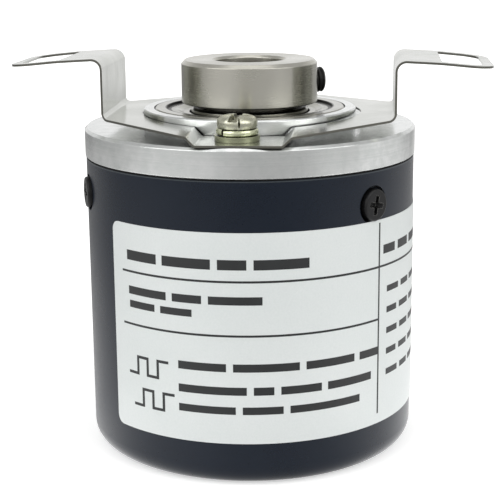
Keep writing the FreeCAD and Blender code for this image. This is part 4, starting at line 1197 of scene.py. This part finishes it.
@dataclass
class LabelPrint(Assembly):
    """The print on the label: rules, rows of plain bars and a wave pictogram, with no lettering.

    Each row has its azimuth in degrees, and its height and its bars' height and lengths in millimetres.
    """

    radius: float = 18.98
    thickness: float = 0.016
    rule: float = 0.24
    left: float = -132.4
    right: float = 15.0
    divider: float = -37.95
    top: float = -9.2
    bottom: float = -31.0
    rules: tuple[float, ...] = (-14.13, -20.05)
    rows: tuple[tuple[float, float, float, tuple[float, ...]], ...] = (
        (-129.9, -12.3, 1.1, (4.2, 5.6, 3.1, 6.0)),
        (-129.4, -16.2, 0.9, (5.2, 3.4, 5.8)),
        (-129.1, -17.75, 0.8, (3.6, 3.8)),
        (-109.6, -23.6, 0.9, (5.4, 7.2, 6.0, 2.9)),
        (-109.6, -26.2, 0.9, (7.6, 2.2, 4.6, 6.0)),
        (-109.6, -28.4, 0.85, (6.4, 4.4, 8.6)),
        (-35.4, -12.3, 1.0, (2.4, 2.9, 3.8, 2.2)),
        (-33.0, -16.9, 0.7, (2.6, 2.4, 4.4)),
        (-33.0, -19.3, 0.7, (2.2, 2.8, 4.0)),
        (-33.0, -21.7, 0.7, (2.4, 2.5, 4.6)),
        (-33.0, -24.1, 0.7, (2.2, 2.6, 3.8)),
        (-33.0, -26.5, 0.7, (2.6, 2.4, 4.4)),
    )
    word_gap: float = 0.75
    wave_azimuth: float = -130.2
    wave_steps: Steps = ((-24.6, 0.0), (-28.2, 0.7))
    wave_width: float = 1.4
    wave_height: float = 1.9
    wave_line: float = 0.32

    def way(self, azimuth: float) -> float:
        """Gives how far round the unrolled label an azimuth in degrees lies, in millimetres."""
        return math.radians(azimuth) * self.radius

    def bars(self) -> list[Mark]:
        """Sets the word bars of every row.

        Returns:
            The marks, each with its middle's way round and height, its length and its own height.
        """
        marks = []
        for azimuth, height, tall, lengths in self.rows:
            left = self.way(azimuth)
            for length in lengths:
                marks.append((left + length / 2, height, length, tall))
                left += length + self.word_gap
        return marks

    def waves(self) -> list[Mark]:
        """Draws two square waves, a quarter step apart, as a general sign for an encoder's output.

        Returns:
            The marks.
        """
        marks = []
        width, line = self.wave_width, self.wave_line
        for height, lead in self.wave_steps:
            for step in range(4):
                left = self.way(self.wave_azimuth) + lead + step * width
                level = height + self.wave_height * (0.5 if step % 2 else -0.5)
                marks.append((left + width / 2, level, width, line))
                if step:
                    marks.append((left, height, line, self.wave_height + line))
        return marks

    def lines(self) -> list[Mark]:
        """Sets the rules between the label's fields.

        Returns:
            The marks.
        """
        left, divider = self.way(self.left), self.way(self.divider) + self.rule / 2
        marks = [((left + self.way(end)) / 2, height, self.way(end) - left, self.rule)
                 for height, end in zip(self.rules, (self.right, self.divider))]
        return [*marks, (divider, (self.top + self.bottom) / 2, self.rule, self.top - self.bottom)]

    def build(self) -> None:
        """Prints the marks on the label."""
        for name, marks, steps in (
                ("label_bars", self.bars() + self.waves(), 9), ("label_rules", self.lines(), 150)):
            mesh = bpy.data.meshes.new(name)
            mesh.from_pydata([(way * MM, height * MM, 0.0) for way, height, _, _ in marks], [], [])
            size = mesh.attributes.new("size", "FLOAT_VECTOR", "POINT")
            size.data.foreach_set("vector", [
                value for _, _, length, tall in marks for value in (length * MM, tall * MM, 1.0)])
            piece = linked(name, mesh)
            bake(piece, self.shop.marks, {
                "Radius": self.radius * MM, "Thickness": self.thickness * MM, "Steps": steps,
                "Material": self.shop.finishes[INK.name]})
            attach(piece, "housing")
            log.info("printed %s: %d marks", name, len(marks))


@dataclass
class Studio:
    """Camera, floor, lamps and surroundings. Lengths in metres, angles in degrees.

    The steps are how bright the floor near the object, the floor further off and the walls look when metal
    mirrors them, by azimuth from the camera's side, positive to the right; then by height, and by reach.
    """

    lens: float = 98.215
    sensor: float = 36.0
    stand: tuple[float, float, float] = (0.0, -0.1569, 0.02251)
    pitch: float = 13.514
    yaw: float = -0.039
    roll: float = -0.516
    object_turn: float = 5.06
    clip: tuple[float, float] = (0.001, 50.0)
    floor_radius: float = 4.0
    floor_sides: int = 64
    floor_colour: str = "#f1f1f0"
    floor_gap: float = 0.00002
    floor_lift: float = 0.5
    lamp_height: float = 35.0
    lamp_side: float = 55.0
    lamp_angle: float = 50.0
    lamp_strength: float = 1.0
    sky_strength: float = 0.6
    floor_steps: Steps = (
        (-180.0, 1.0), (-150.0, 0.45), (-120.0, 0.6), (-95.0, 0.7), (-65.0, 1.0), (-45.0, 0.9), (-25.0, 0.75),
        (0.0, 0.5), (20.0, 0.46), (40.0, 0.6), (60.0, 0.9), (80.0, 1.0), (120.0, 0.9), (150.0, 0.6),
        (180.0, 1.0))
    far_steps: Steps = (
        (-180.0, 1.0), (-170.0, 0.9), (-156.0, 0.3), (-133.0, 0.24), (-118.0, 0.4), (-94.0, 0.36),
        (-74.0, 0.38), (-56.0, 0.43), (-39.0, 0.5), (-23.0, 0.62), (0.0, 0.54), (20.0, 0.54), (39.0, 0.41),
        (56.0, 0.42), (74.0, 0.35), (94.0, 0.9), (123.0, 0.75), (139.0, 0.5), (156.0, 0.4), (170.0, 0.9),
        (180.0, 1.0))
    far_reach: tuple[float, float] = (0.2, 0.28)
    wall_steps: Steps = (
        (-180.0, 1.0), (-140.0, 0.8), (-100.0, 0.7), (-60.0, 1.0), (60.0, 1.0), (100.0, 0.7), (140.0, 0.8),
        (180.0, 1.0))
    height_steps: Steps = ((0.0, 1.0), (0.4, 1.0), (0.6, 0.75), (0.9, 0.75), (0.96, 1.5), (1.0, 1.5))
    reach_steps: Steps = (
        (0.0, 1.9), (0.06, 1.9), (0.24, 1.0), (0.54, 1.0), (0.58, 0.6), (0.63, 0.62), (0.71, 0.9), (0.8, 1.0))
    reach_span: float = 0.5

    def camera(self) -> None:
        """Sets the photograph's camera."""
        data = bpy.data.cameras.new("camera")
        data.lens, data.sensor_width = self.lens, self.sensor
        data.clip_start, data.clip_end = self.clip
        camera = linked("camera", data)
        place = turned(self.object_turn) @ Matrix.Translation(self.stand)
        camera.matrix_world = place @ turned(-self.yaw) @ turned(90 - self.pitch, "X") @ turned(self.roll)
        bpy.context.scene.camera = camera

    def seen(self, tree: Tree) -> Node:
        """Tells the rays that show the background: camera, glossy and transmission rays.

        Args:
            tree: the tree that asks.

        Returns:
            The node that gives 1 for such a ray and 0 for the others.
        """
        path = add_node(tree, "ShaderNodeLightPath").outputs
        either = add_node(tree, MATH, (path["Is Camera Ray"], path["Is Glossy Ray"]), "MAXIMUM")
        return add_node(tree, MATH, (either, path["Is Transmission Ray"]), "MAXIMUM")

    def room_level(self, tree: Tree, steps: Steps, x: Socket, y: Socket) -> Node:
        """Gives how bright the room looks in a direction, as bare metal mirrors it.

        Args:
            tree: the tree that asks.
            steps: the azimuths and the levels there.
            x: the direction's share to the right.
            y: the direction's share to the back.

        Returns:
            The colour's node.
        """
        front = add_node(tree, MATH, (y, -1.0), "MULTIPLY")
        turn = add_node(tree, MATH, (x, front), "ARCTAN2")
        share = add_node(tree, MATH, (turn, 1 / math.tau, 0.5), "MULTIPLY_ADD")
        ramp = add_node(tree, RAMP, {"Fac": share})
        return self.set_ramp(ramp, [(azimuth / 360 + 0.5, level) for azimuth, level in steps])

    def set_ramp(self, node: Node, steps: Sequence[tuple[float, float]]) -> Node:
        """Sets a colour ramp's greys.

        Args:
            node: the ramp's node.
            steps: each step's position and level.

        Returns:
            The same node.
        """
        ramp = node.color_ramp
        while len(ramp.elements) < len(steps):
            ramp.elements.new(0.5)
        for element, (position, level) in zip(ramp.elements, steps):
            element.position = position
            element.color = (level, level, level, 1.0)
        return node

    def floor(self) -> None:
        """Lays a plain pale floor, which looks darker in front where metal mirrors it."""
        lowest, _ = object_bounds()
        angles = [math.tau * i / self.floor_sides for i in range(self.floor_sides)]
        rim = ring(angles, (lowest.z - self.floor_gap) / MM, round_at(self.floor_radius / MM))
        floor = new_piece("floor", rim, [range(self.floor_sides)])
        paint = bpy.data.materials.new("floor_paint")
        tree = opened(paint)
        add = partial(add_node, tree)
        matt = add("ShaderNodeBsdfDiffuse", {"Color": linear(self.floor_colour)})
        lifted = add(MATH, (self.seen(tree), self.floor_lift), "MULTIPLY")
        both = add("ShaderNodeAddShader", (matt, add("ShaderNodeEmission", {"Strength": lifted})))
        place = add("ShaderNodeTexCoord").outputs["Object"]
        x, y, _ = add(SPLIT, (place,)).outputs
        reach = add(VECTORS, (place,), "LENGTH").outputs["Value"]
        near = add(RAMP, {"Fac": add(MATH, (reach, self.reach_span), "DIVIDE")})
        self.set_ramp(near, self.reach_steps)
        far = add(RANGE, {"Value": reach, "From Min": self.far_reach[0], "From Max": self.far_reach[1]})
        level = add(MIX, {"Factor": far, 6: self.room_level(tree, self.floor_steps, x, y),
                          7: self.room_level(tree, self.far_steps, x, y)}, data_type="RGBA")
        mirrored = add("ShaderNodeEmission", {"Color": level.outputs[2], "Strength": near})
        shiny = add("ShaderNodeLightPath").outputs["Is Glossy Ray"]
        chosen = add("ShaderNodeMixShader", (shiny, both, mirrored))
        add("ShaderNodeOutputMaterial", {"Surface": chosen})
        floor.data.materials.append(paint)
        floor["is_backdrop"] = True

    def lamps(self) -> None:
        """Hangs two broad soft lamps, one at each side in front."""
        for side in (-1, 1):
            data = bpy.data.lights.new("soft_lamp", "SUN")
            data.energy = self.lamp_strength
            data.angle = math.radians(self.lamp_angle)
            turn = turned(side * self.lamp_side + self.object_turn)
            linked("soft_lamp", data).matrix_world = turn @ turned(90 - self.lamp_height, "X")

    def surroundings(self) -> None:
        """Surrounds the object with a white room, a little darker in front and at the far sides."""
        world = bpy.data.worlds.new("room")
        bpy.context.scene.world = world
        tree = opened(world)
        add = partial(add_node, tree)
        x, y, height = add(SPLIT, (add("ShaderNodeTexCoord").outputs["Generated"],)).outputs
        overhead = self.set_ramp(add(RAMP, {"Fac": height}), self.height_steps)
        room = add(MIX, {"Factor": 1.0, 6: self.room_level(tree, self.wall_steps, x, y), 7: overhead},
                   data_type="RGBA", blend_type="MULTIPLY").outputs[2]
        shiny = add("ShaderNodeLightPath").outputs["Is Glossy Ray"]
        plain = add(MIX, {"Factor": shiny, 6: linear("#ffffff"), 7: room}, data_type="RGBA").outputs[2]
        strength = add(RANGE, {"Value": self.seen(tree), "To Min": self.sky_strength, "To Max": 1.0})
        light = add("ShaderNodeBackground", {"Color": plain, "Strength": strength})
        add("ShaderNodeOutputWorld", {"Surface": light})

    def build(self) -> None:
        """Sets the whole studio."""
        bpy.context.scene.view_settings.view_transform = "Standard"
        self.camera()
        self.surroundings()
        self.floor()
        self.lamps()
        log.info("set the studio")


def clear_startup_objects() -> None:
    """Removes Blender's own first objects, which aren't part of the frame."""
    kept = {*frame["nodes"].values(), *frame["bodies"].values()}
    for thing in list(bpy.data.objects):
        if thing not in kept:
            bpy.data.objects.remove(thing)


def main() -> None:
    """Builds the visual model piece by piece round the frame."""
    logging.basicConfig(level=logging.INFO, format="%(name)s: %(message)s")
    clear_startup_objects()
    bpy.context.view_layer.update()
    shop = Workshop.open()
    for assembly in (Casing(shop), LabelPrint(shop), SpringMount(shop), Bearing(shop, "upper"),
                     Bearing(shop, "lower"), Rotor(shop), Scanner(shop)):
        assembly.build()
    Studio().build()
    bpy.context.view_layer.update()


if __name__ == "__main__":
    main()
